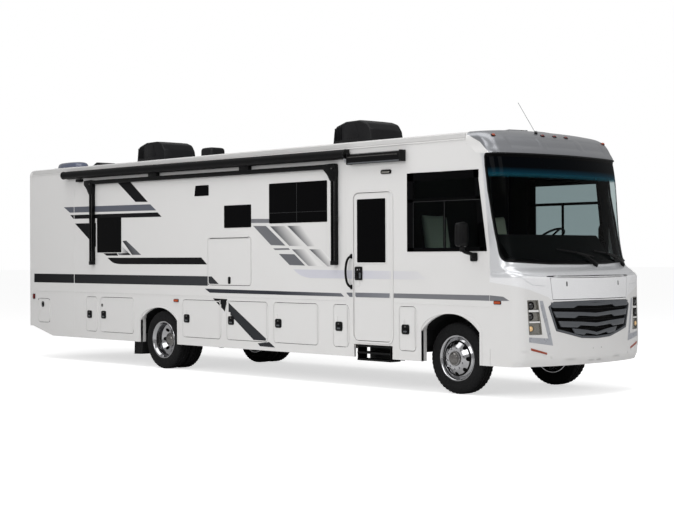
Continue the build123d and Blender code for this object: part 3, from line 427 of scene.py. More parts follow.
# ---------------------------------------------------------------- CAD nodes
for mat, names in (
    (white, "right_wall left_wall rear_wall entry_door " + " ".join(d[0] for d in DOORS[:-1])),
    (roof_white, "roof"),
    (chassis, "chassis_frame leaf_springs fuel_tank hitch_receiver"),
    (cast, "engine front_axle rear_axle right_knuckle left_knuckle"),
    (steel, "drive_shaft exhaust"),
    (liner, "storage_bays wheel_wells"),
    (carpet, "floor entry_stepwell"),
    (satin, "entry_step steering_wheel"),
    (alloy_satin, "ladder"),
    (chrome, "front_right_wheel front_left_wheel rear_right_wheels rear_left_wheels"),
    (red, "tail_lights"),
):
    for name in names.split():
        nodes[name].data.materials.clear()
        nodes[name].data.materials.append(mat)


# ---------------------------------------------------------------- vinyl graphics on the side walls
def decal(name, outline, mat, side, lift=0.8):
    """Vinyl on the side, cut along the doors' gaps; each part rides on the panel under it."""
    bm = bmesh.new()
    bm.faces.new([bm.verts.new((x, 0, z)) for x, z in outline])
    bmesh.ops.triangulate(bm, faces=bm.faces[:])
    xs, zs = zip(*outline)
    crossed = [
        d for d in DOORS
        if d[1] == side and d[2] < max(xs) and d[3] > min(xs) and d[4] < max(zs) and d[5] > min(zs)]
    for body, _, x0, x1, z0, z1, *_ in crossed:
        for axis, ends in ((0, (x0, x0 + GAP, x1, x1 - GAP)), (2, (z0, z0 + GAP, z1, z1 - GAP))):
            for at in ends:
                co, no = Vector(), Vector()
                co[axis], no[axis] = at, 1
                geom = bm.verts[:] + bm.edges[:] + bm.faces[:]
                bmesh.ops.bisect_plane(bm, geom=geom, plane_co=co, plane_no=no)
    groups = {}
    for f in bm.faces:
        c = f.calc_center_median()
        body = "vehicle"
        for d, _, x0, x1, z0, z1, *_ in crossed:
            if x0 < c.x < x1 and z0 < c.z < z1:
                body = d if x0 + GAP < c.x < x1 - GAP and z0 + GAP < c.z < z1 - GAP else None
        if body and f.calc_area() > 1:
            groups.setdefault(body, []).append([tuple(v.co) for v in f.verts])
    bm.free()
    for body, faces in groups.items():
        verts = [P(x, side * (HALF + lift), z) for f in faces for x, _, z in f]
        idx, n = [], 0
        for f in faces:
            idx.append(list(range(n, n + len(f))))
            n += len(f)
        full = name + ("" if body == "vehicle" else "_" + body)
        face_out(piece(verts, idx, mat, name=full, body=body), side)


def face_out(o, side):
    """Turn a flat sheet's faces to look outwards."""
    bm = bmesh.new()
    bm.from_mesh(o.data)
    bmesh.ops.remove_doubles(bm, verts=bm.verts[:], dist=1e-6)
    for f in bm.faces:
        f.normal_update()
        if f.normal.y * side < 0:
            f.normal_flip()
    bm.to_mesh(o.data)
    bm.free()


black_fade = faded("vinyl_black_fade", (24, 24, 26), (58, 59, 62), -10300, -5100, 0.0, 1400)
line_fade = faded("vinyl_line_fade", (52, 54, 60), (138, 140, 146), -3400, -600, 0.0, 1290)
lilac_fade = faded("vinyl_lilac_fade", (203, 203, 211), (216, 215, 216), -1700, -420, 0.0, 1560)
fan_a = faded("fan_first", (92, 93, 97), (212, 211, 210), -3560, -3200, 1.03, 2283)
fan_b = faded("fan_second", (84, 85, 89), (228, 227, 226), -3160, -2860, 1.03, 2283)
fan_c = faded("fan_third", (96, 97, 101), (222, 221, 220), -3090, -2800, 1.1, 1936)
fan_d = faded("fan_fourth", (84, 85, 89), (228, 227, 226), -2700, -2440, 1.1, 1934)
tail_a = faded("tail_first", (38, 38, 40), (96, 97, 101), -7500, -7300, 0.9, 2108)
tail_b = faded("tail_second", (226, 225, 224), (104, 105, 109), -7560, -7330, 0.0, 2000)
fan_grey = vinyl("vinyl_fan_grey", (112, 113, 117))
fan_foot = vinyl("vinyl_fan_foot", (106, 107, 111))

DECALS = [  # name, material, outline as x, z, x, z ...
    ("sweep_up", ink, (-7700, 3150, -7310, 3140, -6748, 2748, -7102, 2758)),
    ("bar_slate", slate, (-9333, 2733, -6680, 2706, -6509, 2601, -9133, 2630)),
    ("bar_black", ink, (-9123, 2587, -6472, 2567, -6359, 2492, -9013, 2517)),
    ("slant_rear", ink, (-8968, 2434, -8300, 2430, -8300, 2012)),
    ("tail_dark", tail_a, (-7490, 2108, -7378, 2114, -6942, 1870, -7203, 1871)),
    ("tail_grey", tail_b, (-7510, 2020, -7247, 1872, -7511, 1873)),
    ("chip_dark", ink, (-8069, 1903, -7664, 1904, -7619, 1860, -7971, 1861)),
    ("chip_grey", mid_grey, (-7640, 1901, -7300, 1901, -7250, 1868, -7590, 1868)),
    ("swoosh", ink, (
        -7947, 1825, -7870, 1783, -7801, 1751, -7750, 1734, -7680, 1724,
        -7620, 1718, -7536, 1715, -5147, 1712, -5296, 1822)),
    ("belt_rear", black_fade, (-10351, 1541, -9002, 1537, -9002, 1380, -10353, 1381)),
    ("belt", black_fade, (-8990, 1537, -5132, 1526, -5132, 1376, -8990, 1379)),
    ("belt_tip", charcoal, (-5124, 1523, -5030, 1524, -4820, 1385, -5124, 1385)),
    ("line_rear", line_fade, (-5204, 1330, -2048, 1307, -1978, 1258, -5081, 1268)),
    ("line_mid", line_fade, (-1945, 1318, -1792, 1318, -1792, 1257, -1870, 1258)),
    ("line_door", line_fade, (-1750, 1320, -1060, 1320, -1060, 1256, -1750, 1256)),
    ("line_front", mid_grey, (-989, 1321, 735, 1322, 735, 1252, -989, 1259)),
    ("hook", ink, (-5000, 1181, -4637, 1175, -4690, 1060, -4698, 980, -4740, 1010, -4818, 1111, -4905, 1150)),
    ("slash", charcoal, (-4608, 1124, -4540, 1082, -3700, 596, -3720, 560, -3992, 562, -4608, 962)),
    ("slash_foot", charcoal, (-3905, 521, -3630, 551, -3496, 475, -3846, 478)),
    ("bar_grey", mid_grey, (-4047, 2405, -3610, 2395, -3610, 2334, -4047, 2343)),
    ("fan_root", fan_grey, (-4000, 2297, -3698, 2291, -3250, 1992, -3583, 2002)),
    ("fan_root_bar", mid_grey, (-3532, 1953, -3183, 1955, -3145, 1929, -3486, 1927)),
    ("fan_1", fan_a, (-3600, 2283, -3274, 2283, -2848, 1978, -3162, 1987)),
    ("fan_2", fan_b, (-3206, 2282, -2902, 2280, -2575, 1976, -2756, 1977)),
    ("fan_foot", fan_foot, (-3402, 1870, -3051, 1863, -2812, 1697, -3157, 1704)),
    ("fan_3", fan_c, (-3106, 1936, -2793, 1934, -2416, 1688, -2740, 1693)),
    ("fan_4", fan_d, (-2719, 1934, -2448, 1932, -2130, 1681, -2326, 1686)),
    ("haze", lilac_fade, (
        -3072, 1643, -3000, 1596, -2924, 1558, -2820, 1532, -2704, 1516,
        -584, 1512, -384, 1518, -537, 1622, -1943, 1631)),
]
for name, mat, flat in DECALS:
    outline = list(zip(flat[::2], flat[1::2]))
    for side, tag in SIDES:
        if side == 1 and name == "line_door":  # no door on the left: the line runs through
            outline = rect(-1792, -989, 1320, 1256)
        decal(f"{tag}_{name}", outline, mat, side)


# ---------------------------------------------------------------- the front cap as one smooth skin
CAP = [  # height, nose x, radius of the face, radius of the corner
    (420, 1400, 3600, 180), (520, 1445, 3600, 180), (640, 1454, 3600, 180), (1262, 1440, 3600, 180),
    (1550, 1430, 3700, 175), (1600, 1375, 3900, 170), (1705, 1206, 4310, 160), (3130, 985, 4800, 150),
    (3290, 900, 5200, 150), (3400, 780, 5600, 150), (3470, 610, 5800, 150), (3520, 330, 5800, 150),
]
SEAM = [(741, 420), (725, 1899), (581, 2796), (548, 3053), (497, 3184), (342, 3284), (342, 3520)]
CROWN, CORNER, ARCH_R = 3500, 100, 12445
corner_z = CROWN - ARCH_R + math.sqrt((ARCH_R - CORNER) ** 2 - (HALF - CORNER) ** 2)
corner_top = CROWN - ARCH_R + ARCH_R * math.cos(math.asin((HALF - CORNER) / (ARCH_R - CORNER)))


def slopes(xs, ys):
    """Slopes at the points of a curve that never overshoots them."""
    h = [b - a for a, b in zip(xs, xs[1:])]
    d = [(b - a) / k for a, b, k in zip(ys, ys[1:], h)]
    m = [d[0]]
    for i in range(1, len(d)):
        w1, w2 = 2 * h[i] + h[i - 1], h[i] + 2 * h[i - 1]
        m.append((w1 + w2) / (w1 / d[i - 1] + w2 / d[i]) if d[i - 1] * d[i] > 0 else 0)
    return m + [d[-1]]


cap_z = [r[0] for r in CAP]
cap_cols = [[r[k] for r in CAP] for k in (1, 2, 3)]
cap_slopes = [slopes(cap_z, c) for c in cap_cols]


def cap_row(z):
    """Nose x, face radius and corner radius at a height."""
    z = min(max(z, cap_z[0]), cap_z[-1])
    i = max(k for k in range(len(cap_z) - 1) if cap_z[k] <= z)
    h = cap_z[i + 1] - cap_z[i]
    t = (z - cap_z[i]) / h
    a, b, c, d = 2 * t**3 - 3 * t * t + 1, t**3 - 2 * t * t + t, 3 * t * t - 2 * t**3, t**3 - t * t
    return [a * y[i] + b * h * m[i] + c * y[i + 1] + d * h * m[i + 1] for y, m in zip(cap_cols, cap_slopes)]


def half_at(z):
    """Half the body's width at a height, over the roof's rounded edge and crown."""
    if z <= corner_z:
        return HALF
    if z <= corner_top:
        return HALF - CORNER + math.sqrt(max(CORNER**2 - (z - corner_z) ** 2, 0))
    return math.sqrt(max(ARCH_R**2 - (z - CROWN + ARCH_R) ** 2, 0))


def seam_x(z):
    """x of the cap's rear edge at a height."""
    return float(np.interp(z, [p[1] for p in SEAM], [p[0] for p in SEAM]))


def cap_shape(z):
    """At a height: nose x, face and corner radius, half width, the corner's middle, the face's half angle."""
    n, r, rc = cap_row(z)
    w = half_at(z)
    rc = min(rc, w * 0.6)
    cy = w - rc
    cx = n - r + math.sqrt((r - rc) ** 2 - cy * cy)
    alpha = math.atan2(cy, cx - n + r)
    return n, r, rc, w, cx, cy, alpha


def smooth_step(t):
    t = min(max(t, 0), 1)
    return t * t * (3 - 2 * t)


def groove_z(y):
    """Height of the line between the band under the glass and the hood."""
    return float(np.interp(abs(y), [0, 110, 654, 950, 1120, 1270], [1545, 1546, 1549, 1574, 1594, 1620]))


def relief(y, z):
    """How far the skin stands proud of its main shape, mm."""
    d = 13 * smooth_step((z - 3118) / 22) * (1 - smooth_step((z - 3150) / 90))
    d -= 9 * math.exp(-(((z - groove_z(y)) / 9) ** 2))
    low = float(np.interp(abs(y), [0, 300, 734, 1114, 1280], [470, 497, 521, 617, 640]))
    d -= 7 * smooth_step((low - z) / 14)
    if z > 3200:
        for y0, y1 in ((-1000, -420), (-360, 360), (420, 1000)):
            d -= 5 * math.prod(map(smooth_step, ((y - y0) / 40, (y1 - y) / 40, (z - 3215) / 30, (3385 - z) / 30)))
    return d


def cap_flat(b, z):
    """b: 0 in the middle, 1 where the corner starts, 2 where it ends, 3 at the side seam; plus is left."""
    n, r, rc, w, cx, cy, alpha = cap_shape(z)
    k, s = abs(b), 1 if b >= 0 else -1
    if k <= 1:
        x, y = n - r + r * math.cos(alpha * k), r * math.sin(alpha * k)
    elif k <= 2:
        f = alpha + (math.pi / 2 - alpha) * (k - 1)
        x, y = cx + rc * math.cos(f), cy + rc * math.sin(f)
    else:
        x, y = cx + (seam_x(z) - cx) * (k - 2), w
    return Vector((x, s * y, z))


def cap_normal(b, z, shape=cap_flat):
    """Outward normal at b, z, from points close to it."""
    e, ez = 0.004, 1.5
    if z + ez > CROWN - 0.5:
        z = CROWN - 0.5 - ez
    u = shape(b + e, z) - shape(b - e, z)
    v = shape(b, z + ez) - shape(b, z - ez)
    return u.cross(v).normalized()


def cap_relief(b, z):
    """The place on the cap with its grooves and ridges, mm from the front axle."""
    p = cap_flat(b, z)
    return p + cap_normal(b, z) * relief(p.y, z)


def spot(b, z, out=0.0):
    """The place out mm proud of the cap, metres."""
    p = cap_relief(b, z)
    return (p + cap_normal(b, z, cap_relief) * out if out else p) / 1000 + Vector((AX, 0, 0))


def spot_y(y, z, out=0.0):
    return spot(*by_y(y, z), out)


def b_on_arc(s, angle, alpha):
    return s * (1 + (angle - alpha) / (math.pi / 2 - alpha))


def by_y(y, z):
    """b and z of a point given by its y."""
    n, r, rc, w, cx, cy, alpha = cap_shape(z)
    k, s = abs(y), 1 if y >= 0 else -1
    if k <= r * math.sin(alpha):
        return s * math.asin(k / r) / alpha, z
    return b_on_arc(s, math.asin(min((k - cy) / rc, 1)), alpha), z


def by_x(x, z, s=1):
    """b and z of a point on the corner or side given by its x."""
    n, r, rc, w, cx, cy, alpha = cap_shape(z)
    if x > cx:
        return b_on_arc(s, math.acos(min((x - cx) / rc, 1)), alpha), z
    return s * (2 + (cx - x) / (cx - seam_x(z))), z


FLAT = 1150, 260, 300  # mm of flat sheet for the face, corner and side of b
FLAT_AT = (0, FLAT[0], FLAT[0] + FLAT[1], sum(FLAT))


def spread(b):
    """b to mm across the flat sheet."""
    k = abs(b)
    a = min(k, 1) * FLAT[0] + min(max(k - 1, 0), 1) * FLAT[1] + max(k - 2, 0) * FLAT[2]
    return math.copysign(a, b)


def gather(a):
    """mm across the flat sheet to b."""
    k = abs(a)
    i = 0 if k <= FLAT_AT[1] else 1 if k <= FLAT_AT[2] else 2
    return math.copysign(i + (k - FLAT_AT[i]) / FLAT[i], a)


def outline_of(half, radii=0, mirror=True, n=8):
    """A closed outline on the flat sheet from (b, z) points of its left half, corners rounded."""
    flat = [(spread(b), z) for b, z in half]
    far = [abs(a) > 1 for a, z in flat]
    if isinstance(radii, list):
        radii = radii + [r for r, k in zip(radii[::-1], far[::-1]) if k]
    if mirror:
        flat += [(-a, z) for (a, z), k in zip(flat[::-1], far[::-1]) if k]
    pts = filleted(flat, radii, n) if radii else flat
    out = []
    for (a0, z0), (a1, z1) in zip(pts, pts[1:] + pts[:1]):
        k = max(1, int(math.hypot(a1 - a0, z1 - z0) / 45))
        out += [(a0 + (a1 - a0) * i / k, z0 + (z1 - z0) * i / k) for i in range(k)]
    return out


def shrink(pts, d):
    """An outline moved inwards by d."""
    area = sum(a[0] * b[1] - b[0] * a[1] for a, b in zip(pts, pts[1:] + pts[:1]))
    s = d if area > 0 else -d
    out = []
    for i, p in enumerate(pts):
        a, b = Vector(pts[i - 1]), Vector(pts[(i + 1) % len(pts)])
        t = (b - a).normalized()
        out.append((p[0] - t.y * s, p[1] + t.x * s))
    return out


def inside(pts, outline):
    """For arrays of points, which lie in the outline."""
    x, y = pts[:, 0], pts[:, 1]
    hit = np.zeros(len(pts), bool)
    for (x0, y0), (x1, y1) in zip(outline, outline[1:] + outline[:1]):
        if y0 == y1:
            continue
        hit ^= ((y0 > y) != (y1 > y)) & (x < (x1 - x0) * (y - y0) / (y1 - y0) + x0)
    return hit


def flip(outline):
    return [(-a, z) for a, z in outline[::-1]]


def at_y(*places):
    return [by_y(y, z) for y, z in places]


def at_x(*places, s=1):
    return [by_x(x, z, s) for x, z in places]


screen_half = at_y((0, 1712), (600, 1717), (1000, 1736)) + at_x(
    (925, 1757), (862, 2000), (798, 2279), (718, 2663), (672, 2983), (655, 3138)) + at_y((900, 3141), (0, 3143))
screen = outline_of(screen_half, [0, 0, 0, 120, 0, 0, 0, 0, 130, 0, 0], n=12)
hood_half = at_y((0, 1262), (780, 1262), (812, 1548), (0, 1545))
hood_hole = outline_of(hood_half, [0, 14, 18, 0])
hood_edge = shrink(outline_of(hood_half, [0, 14, 34, 0]), 8)
grille_half = at_y((0, 1249), (765, 1240), (850, 1178), (738, 868), (300, 766), (0, 752))
grille_hole = outline_of(grille_half, [0, 8, 12, 20, 10, 0])
LAMP = [(1156, 1266), (1000, 1266), (950, 828), (1140, 828)]
lamp_hole = outline_of(at_y(*LAMP), 12, mirror=False)
silver_zone = outline_of(at_y((0, 1255), (765, 1250), (851, 1302), (1112, 1394)) + at_x(
    (1146, 1445), (912, 1468), (735, 1492), (700, 2300), (590, 3140)) + at_y((0, 3155)))
brow_half = at_x((345, 3398), (411, 3376), (583, 3290), (690, 3190), (752, 3128)) + at_y((1130, 3122), (0, 3122))
brow_line = [(spread(b), z) for b, z in brow_half]
brow_line += [(-a, z) for a, z in brow_line[::-1][1:]]

# flat sheet: a grid with every outline cut into it
BROW_TOP = [3343, 3352, 3362, 3373, 3385, 3398, 3412, 3426, 3438]
CROWN_Y = (1180, 1100, 1000, 880, 740, 580, 420, 260, 120, 20)
over_crown = [CROWN - ARCH_R + math.sqrt(ARCH_R**2 - y * y) for y in CROWN_Y]
cap_levels = sorted({420, 427, 436, 448, *range(470, 3340, 30), *BROW_TOP, *over_crown})
SPLIT = ((-3, 8, 8), (-2, 10, 10), (-1, 32, 64), (1, 10, 10), (2, 8, 9))  # b from, steps per unit of b, how many
cap_b = [b + i / n for b, n, count in SPLIT for i in range(count)]
points = [(spread(b), z) for z in cap_levels for b in cap_b]
wide, high = len(cap_b), len(cap_levels) - 1
edges = [(r * wide + c, (r + 1) * wide + c) for c in (0, wide - 1) for r in range(high)]
edges += [(r * wide + i, r * wide + i + 1) for r in (0, high) for i in range(wide - 1)]


def cut_in(outline, closed=True):
    """Add an outline to the flat sheet's points and edges."""
    n = len(points)
    points.extend(outline)
    edges.extend((n + i, n + (i + 1) % len(outline)) for i in range(len(outline) - (not closed)))


for shift in (-16, -7, 0, 7, 16):
    ridge = [(spread(by_y(y, groove_z(y))[0]), groove_z(y) + shift) for y in range(-1270, 1271, 20)]
    cut_in(ridge, False)
for o in (screen, hood_hole, hood_edge, grille_hole, lamp_hole, flip(lamp_hole), silver_zone):
    cut_in(o)
cut_in(brow_line, False)
flat_v, _, flat_f, *_ = delaunay_2d_cdt([Vector(p) for p in points], edges, [], 0, 0.3)
tri = np.array([list(f) for f in flat_f])
fv = np.array([tuple(v) for v in flat_v])
mid = fv[tri].mean(axis=1)
in_screen, in_hood, in_silver = (inside(mid, o) for o in (screen, hood_edge, silver_zone))
in_brow = inside(mid, brow_line + [(-2200, 3510), (2200, 3510)])


def skin(name, keep, mats, pick=None, body="vehicle", out=0.0, depth=22, node=None):
    """The kept triangles as an object with its edges turned inwards."""
    used, verts, normals, idx, mat_idx = {}, [], [], [], []
    pick = np.zeros(len(tri), int) if pick is None else pick
    for v in tri[keep].ravel():
        if v not in used:
            b, z = gather(fv[v][0]), min(fv[v][1], CROWN - 0.4)
            used[v] = len(verts)
            verts.append(spot(b, z, out))
            normals.append(cap_normal(b, z, cap_relief))
    count, face_of = {}, {}
    for f, k in zip(tri[keep], pick[keep]):
        q = [used[v] for v in f]
        n = (verts[q[1]] - verts[q[0]]).cross(verts[q[2]] - verts[q[0]])
        if n.dot(normals[q[0]]) < 0:
            q = q[::-1]
        idx.append(q)
        mat_idx.append(int(k))
        for a, b in zip(q, q[1:] + q[:1]):
            count[frozenset((a, b))] = count.get(frozenset((a, b)), 0) + 1
            face_of[(a, b)] = int(k)
    rim_at = {}
    for (a, b), k in face_of.items():
        if count[frozenset((a, b))] == 1:
            for v in (b, a):
                for level in (0, 1):
                    if (v, level) not in rim_at:
                        rim_at[(v, level)] = len(verts)
                        verts.append(verts[v] - normals[v] * (depth * level / 1000))
                        normals.append(None)
            idx.append([rim_at[(b, 0)], rim_at[(b, 1)], rim_at[(a, 1)], rim_at[(a, 0)]])
            mat_idx.append(k)
    me = bpy.data.meshes.new(name)
    me.from_pydata([tuple(v) for v in verts], [], idx)
    for m in mats:
        me.materials.append(m)
    me.polygons.foreach_set("material_index", mat_idx)
    loop_n = []
    for p in me.polygons:
        p.use_smooth = True
        flat_face = p.index >= int(keep.sum())
        loop_n += [tuple(p.normal if flat_face else normals[v]) for v in p.vertices]
    me.normals_split_custom_set(loop_n)
    return own(bpy.data.objects.new(name, me), body, node)


HOOD_TOP = 1560  # below this the silver is a lighter copy: painted highlight
openings = in_screen | inside(mid, hood_hole) | inside(mid, grille_hole)
openings |= inside(mid, lamp_hole) | inside(mid, flip(lamp_hole))
# the brow takes the darker silver (painted shade), the silver below HOOD_TOP the lighter one (painted highlight)
colour = np.where(in_brow, 2, np.where(in_silver, np.where(mid[:, 1] < HOOD_TOP, 3, 1), 0))
skin("front_cap_skin", ~openings, [white, silver, brow_silver_painted_shade, silver_painted_highlight], colour, node="front_cap")
skin("hood_skin", in_hood, [silver_painted_highlight], body="hood", node="hood")
skin("windshield_glass", in_screen, [screen_glass], out=-5, depth=6, node="windshield")

# ---------------------------------------------------------------- windows
GLASS_IN, GLASS_OUT = 1278, 1284.5
cab_outline = [(-728, 1886), (698, 1886), (537, 2940), (-728, 2940)]
glazing = []
for s, tag in SIDES:
    def pane(outline, mat, y0=GLASS_IN, y1=GLASS_OUT):
        glazing.append(slab(outline, s * y0, s * y1, mat, smooth=30))
    for window in WINDOWS:
        pane(rounded(*window, 14, 3), dark_glass, 1276)
    # cab window: black panel with three clear panes, its slider bar further back on the left
    back = 70 * (s > 0)
    pane(filleted(cab_outline, 12, 3), cab_glass, WALL, 1281.6)
    for frame_bar in (
        (-728, -610, 1886, 2940), (-728, 560, 2835, 2940), (-728, 640, 1886, 1936),
        (-60 - back, -18 - back, 1930, 2580), (-728, 590, 2548, 2588),
    ):
        pane(rect(*frame_bar), frit)
    pane([(588, 1886), (698, 1886), (537, 2940), (470, 2940)], frit)
    if s < 0:
        pane(filleted([(-5468, 2795), (-5098, 2795), (-5098, 2963), (-5440, 2963)], 12, 3), dark_glass, 1276)
    # dividing bars and slider frames, seen as thin lines in the black glass
    for name, y, r, bar_line in (
        ("lounge_slider_bar", 1285, 4, ((-2990, 2340), (-2990, 2905))),
        ("lounge_lower_bar", 1285, 3, ((-3600, 2480), (-2350, 2480))),
        ("cab_slider_bar", 1286, 4, ((-36 - back, 1935), (-36 - back, 2560))),
        ("cab_pane_frame", 1286, 3.5, ((-607, 1940), (-607, 2552), (600, 2552))),
    ):
        tube([P(x, s * y, z) for x, z in bar_line], r, line_mat, "POLY", f"{tag}_{name}")
join("side_glass", glazing, node="side_windows")
entry_glass = slab(rounded(-1706, -1139, 1741, 2624, 14, 3), -1279, -1287, dark_glass, smooth=30)
join("entry_window_glass", [entry_glass], "entry_door", "entry_door_window")


# ---------------------------------------------------------------- side hardware
def latch(name, x, z, s, body, w=146, h=134):
    """A flush paddle latch with its lock cylinder."""
    def plate(wide, low, high, r, y0, y1, mat, bevel):
        outline = rounded(x - w * wide, x + w * wide, z + h * low, z + h * high, r)
        return slab(outline, s * y0, s * y1, mat, bevel)
    join(name, [
        plate(0.5, -0.5, 0.5, 30, WALL, 1288, satin, 2.5),
        plate(0.31, -0.36, 0.16, 14, 1287, 1292, gloss, 2),
        lathe([(0, 0), (0, 13), (5, 13), (6, 10), (6, 0)], P(x, s * 1288, z + h * 0.3), (0, s, 0), dull, 20),
        plate(0.22, -0.3, -0.14, 6, 1291, 1295, grey, 1.5),
    ], body)


RIGHT = (0, -1, 0)
for body, s, x0, x1, z0, z1, r, lx, lz in DOORS:
    if lx is not None:
        latch(body + "_latch", lx, lz, s, body)
    if body != "entry_door":  # a fine raised bead beside the gap
        inner = rounded(x0 + GAP, x1 - GAP, z0 + GAP, z1 - GAP, r - GAP, 8)
        outer = rounded(x0 + 22, x1 - 22, z0 + 22, z1 - 22, r - 20, 8)
        ring(inner, outer, s * HALF, s * 1282.5, white, 1.0, name=body + "_bead", body=body)
latch("right_cord_latch", -10047, 986, -1, "right_cord_door", 82, 100)
for x, z in ((-10205, 1070), (-9830, 1072), (-9830, 676)):
    screw = [(0, 0), (0, 11), (3, 10), (5, 5), (5, 0)]
    lathe(screw, P(x, -WALL, z), RIGHT, dull, 16, name=f"cord_screw_m{-x}_{z}", body="right_cord_door")
lock = [(0, 0), (0, 27), (5, 27), (8, 22), (8, 9), (11, 8), (11, 0)]
lathe(lock, P(-8111, -WALL, 1006), RIGHT, dull, 28, name="storage_lock", body="right_rear_storage_door")
join("tall_door_latch", [
    slab(rounded(-4611, -4552, 1410, 1521, 20), -WALL, -1290, satin, 2.5),
    slab(rounded(-4598, -4565, 1425, 1485, 10), -1289, -1295, gloss, 2),
], "right_entertainment_door")

# entry door: frame, inner line, lock, grab handle, window surround
for name, body, y, bevel, outer, inner in (
    ("entry_frame", "vehicle", 1292, 3, (-1797, -995, 622, 2731, 104, 10), (-1781, -1016, 648, 2715, 90, 10)),
    ("entry_window_trim", "entry_door", 1288, 2, (-1722, -1123, 1725, 2640, 40), (-1706, -1139, 1741, 2624, 16)),
    ("entry_panel_line", "entry_door", 1281.5, 0, (-1758, -1060, 1240, 2700, 50), (-1752, -1066, 1246, 2694, 46)),
):
    ring(rounded(*outer), rounded(*inner), -HALF, -y, white, bevel, name=name, body=body)
join("entry_lock", [
    slab(rounded(-1748, -1602, 1494, 1684, 18), -WALL, -1296, satin, 4),
    slab(rounded(-1728, -1668, 1520, 1600, 10), -1295, -1303, gloss, 3),
    slab(rounded(-1658, -1622, 1520, 1600, 8), -1295, -1301, grey, 2),
    lathe([(0, 0), (0, 13), (4, 13), (6, 9), (6, 0)], P(-1690, -1296, 1642), RIGHT, chrome, 20),
    lathe([(0, 0), (0, 11), (4, 11), (6, 8), (6, 0)], P(-1645, -1296, 1642), RIGHT, dull, 20),
], "entry_door")
grab = [
    (-1824, -1284, 1829), (-1830, -1322, 1824), (-1862, -1346, 1760), (-1880, -1352, 1612),
    (-1862, -1346, 1466), (-1832, -1322, 1404), (-1826, -1284, 1397),
]
foot = [(0, 0), (0, 34), (7, 34), (12, 26), (12, 0)]
join("grab_handle", [tube([P(*p) for p in grab], 17, satin)] + [
    lathe(foot, P(-1825, -WALL, z), RIGHT, satin, 24) for z in (1829, 1397)])


def marker(name, x0, x1, z0, z1, s, lens):
    """A side lamp: a dark base and its lens."""
    r = z1 - z0
    join(name, [
        slab(rounded(x0, x1, z0, z1, min(14, r / 3)), s * HALF, s * 1290, satin, 2),
        slab(rounded(x0 + 8, x1 - 8, z0 + 7, z1 - 7, min(10, r / 4)), s * 1288, s * 1300, lens, 4, segments=3),
    ])


# markers, belt crease, body seams, drip rail
for s, tag in SIDES:
    marker(f"{tag}_rear_marker", -10390, -10315, 1076, 1172, s, red)
    marker(f"{tag}_middle_marker", -6028, -5898, 1103, 1153, s, amber)
    for name, outline, y0, y1, mat, bevel in (
        ("belt_crease_0", ((-10395, 1221), (-1960, 1201), (-1960, 1211), (-10395, 1231)), HALF, 1284, white, 2),
        ("belt_crease_1", ((-980, 1189), (730, 1171), (730, 1181), (-980, 1199)), HALF, 1284, white, 2),
        ("drip_rail", rect(-10400, 335, 3334, 3352), HALF, 1291, white, 4),
        ("roof_lip", rect(-10400, 335, 3358, 3420), 1270, 1284, roof_white, 5),
        ("seam_cover_0", rect(-9004, -8988, 425, 3332), 1279, 1281.6, white, 1),
        ("seam_cover_1", rect(-1944, -1928, 425, 3332), 1279, 1281.6, white, 1),
    ):
        if s < 0 or name != "seam_cover_1":
            slab(outline, s * y0, s * y1, mat, bevel, name=f"{tag}_{name}")
join("porch_lamp", [
    slab(rounded(-1226, -1022, 2955, 3014, 28), -HALF, -1296, satin, 4),
    slab(rounded(-1200, -1048, 2966, 2992, 12), -1294, -1304, cream, 4),
])
slab(rounded(-2124, -2076, 2328, 2398, 10), -1318, -1350, satin, 4, name="sensor_box")

# wheel arch lips and mud flaps
ARCHES = [(52, 520, 1070, 830, 34), (-6444, 512, 1005, 790, 30)]  # middle x, half width, top, spring, lip


def arch_line(mid, half, top, spring, grow, bottom=422, n=26):
    """Points of a wheel arch's edge from rear bottom over the top to front bottom."""
    pts = [(mid - half - grow, bottom)]
    for i in range(n + 1):
        t = math.pi * (1 - i / n)
        pts.append((mid + (half + grow) * math.cos(t), spring + (top - spring + grow) * math.sin(t)))
    return pts + [(mid + half + grow, bottom)]


for s, tag in SIDES:
    for k, arch in enumerate(ARCHES):
        a, b = arch_line(*arch), arch_line(*arch[:4], 0)
        rows = [[P(x, s * y, z) for x, z in row] for row, y in ((a, HALF), (a, 1286), (b, 1290), (b, 1180))]
        loft(rows, white, 40, caps=False, closed=False, name=f"{tag}_arch_lip_{k}")
    flap = [(-7214, 207), (-6983, 215), (-6960, 520), (-7200, 520)]
    slab(flap, s * 1236, s * 870, rubber, 3, name=f"{tag}_mud_flap")
    join(f"{tag}_mud_flap_band", [slab(rect(-7222, -6990, 500, 540), s * 1240, s * 866, satin, 2)])


# ---------------------------------------------------------------- awnings
def along(x, p0, p1):
    """Height on the line p0-p1 (x, z) at x."""
    return p0[1] + (p1[1] - p0[1]) * (x - p0[0]) / (p1[0] - p0[0])


def bar(p0, p1, section, mat, smooth=35):
    """A straight profile: section points (y out from the wall, z) carried from p0 to p1, both (x, z)."""
    return loft([[P(x, -(HALF + y), z + dz) for y, dz in section] for x, z in (p0, p1)], mat, smooth)


roll = (-9186, 3288), (-1860, 3264)
rail = (-8440, 3135), (-2150, 3106)
turn = [2 * math.pi * i / 28 for i in range(28)]
made = [
    bar(*roll, [(86 + 66 * math.cos(t), 64 * math.sin(t)) for t in turn], fabric.m),
    bar(*roll, rect(2, 34, -66, 72), satin),
    bar(*roll, [(60, 56), (112, 52), (112, 60), (60, 66)], gloss),
    bar(*rail, rounded(14, 70, -35, 35, 14, 4), satin),
    bar(*rail, [(68, 8), (78, 8), (78, 30), (68, 32)], gloss),
    slab(rounded(-8825, -8695, 3158, 3208, 10), -WALL, -1360, satin, 4),
]
cap = [(0, 0), (0, 68), (14, 70), (24, 64), (30, 40), (30, 0)]
made += [lathe(cap, P(x, -1366, z), (way, 0, 0), gloss, 36) for (x, z), way in zip(roll, (-1, 1))]
for x0, x1 in ((-6640, -6404), (-4256, -4030)):
    block = rect(x0, x1, along(x0, *rail) + 10, along(x0, *roll) - 30)
    made.append(slab(block, -WALL, -1352, satin, 4))
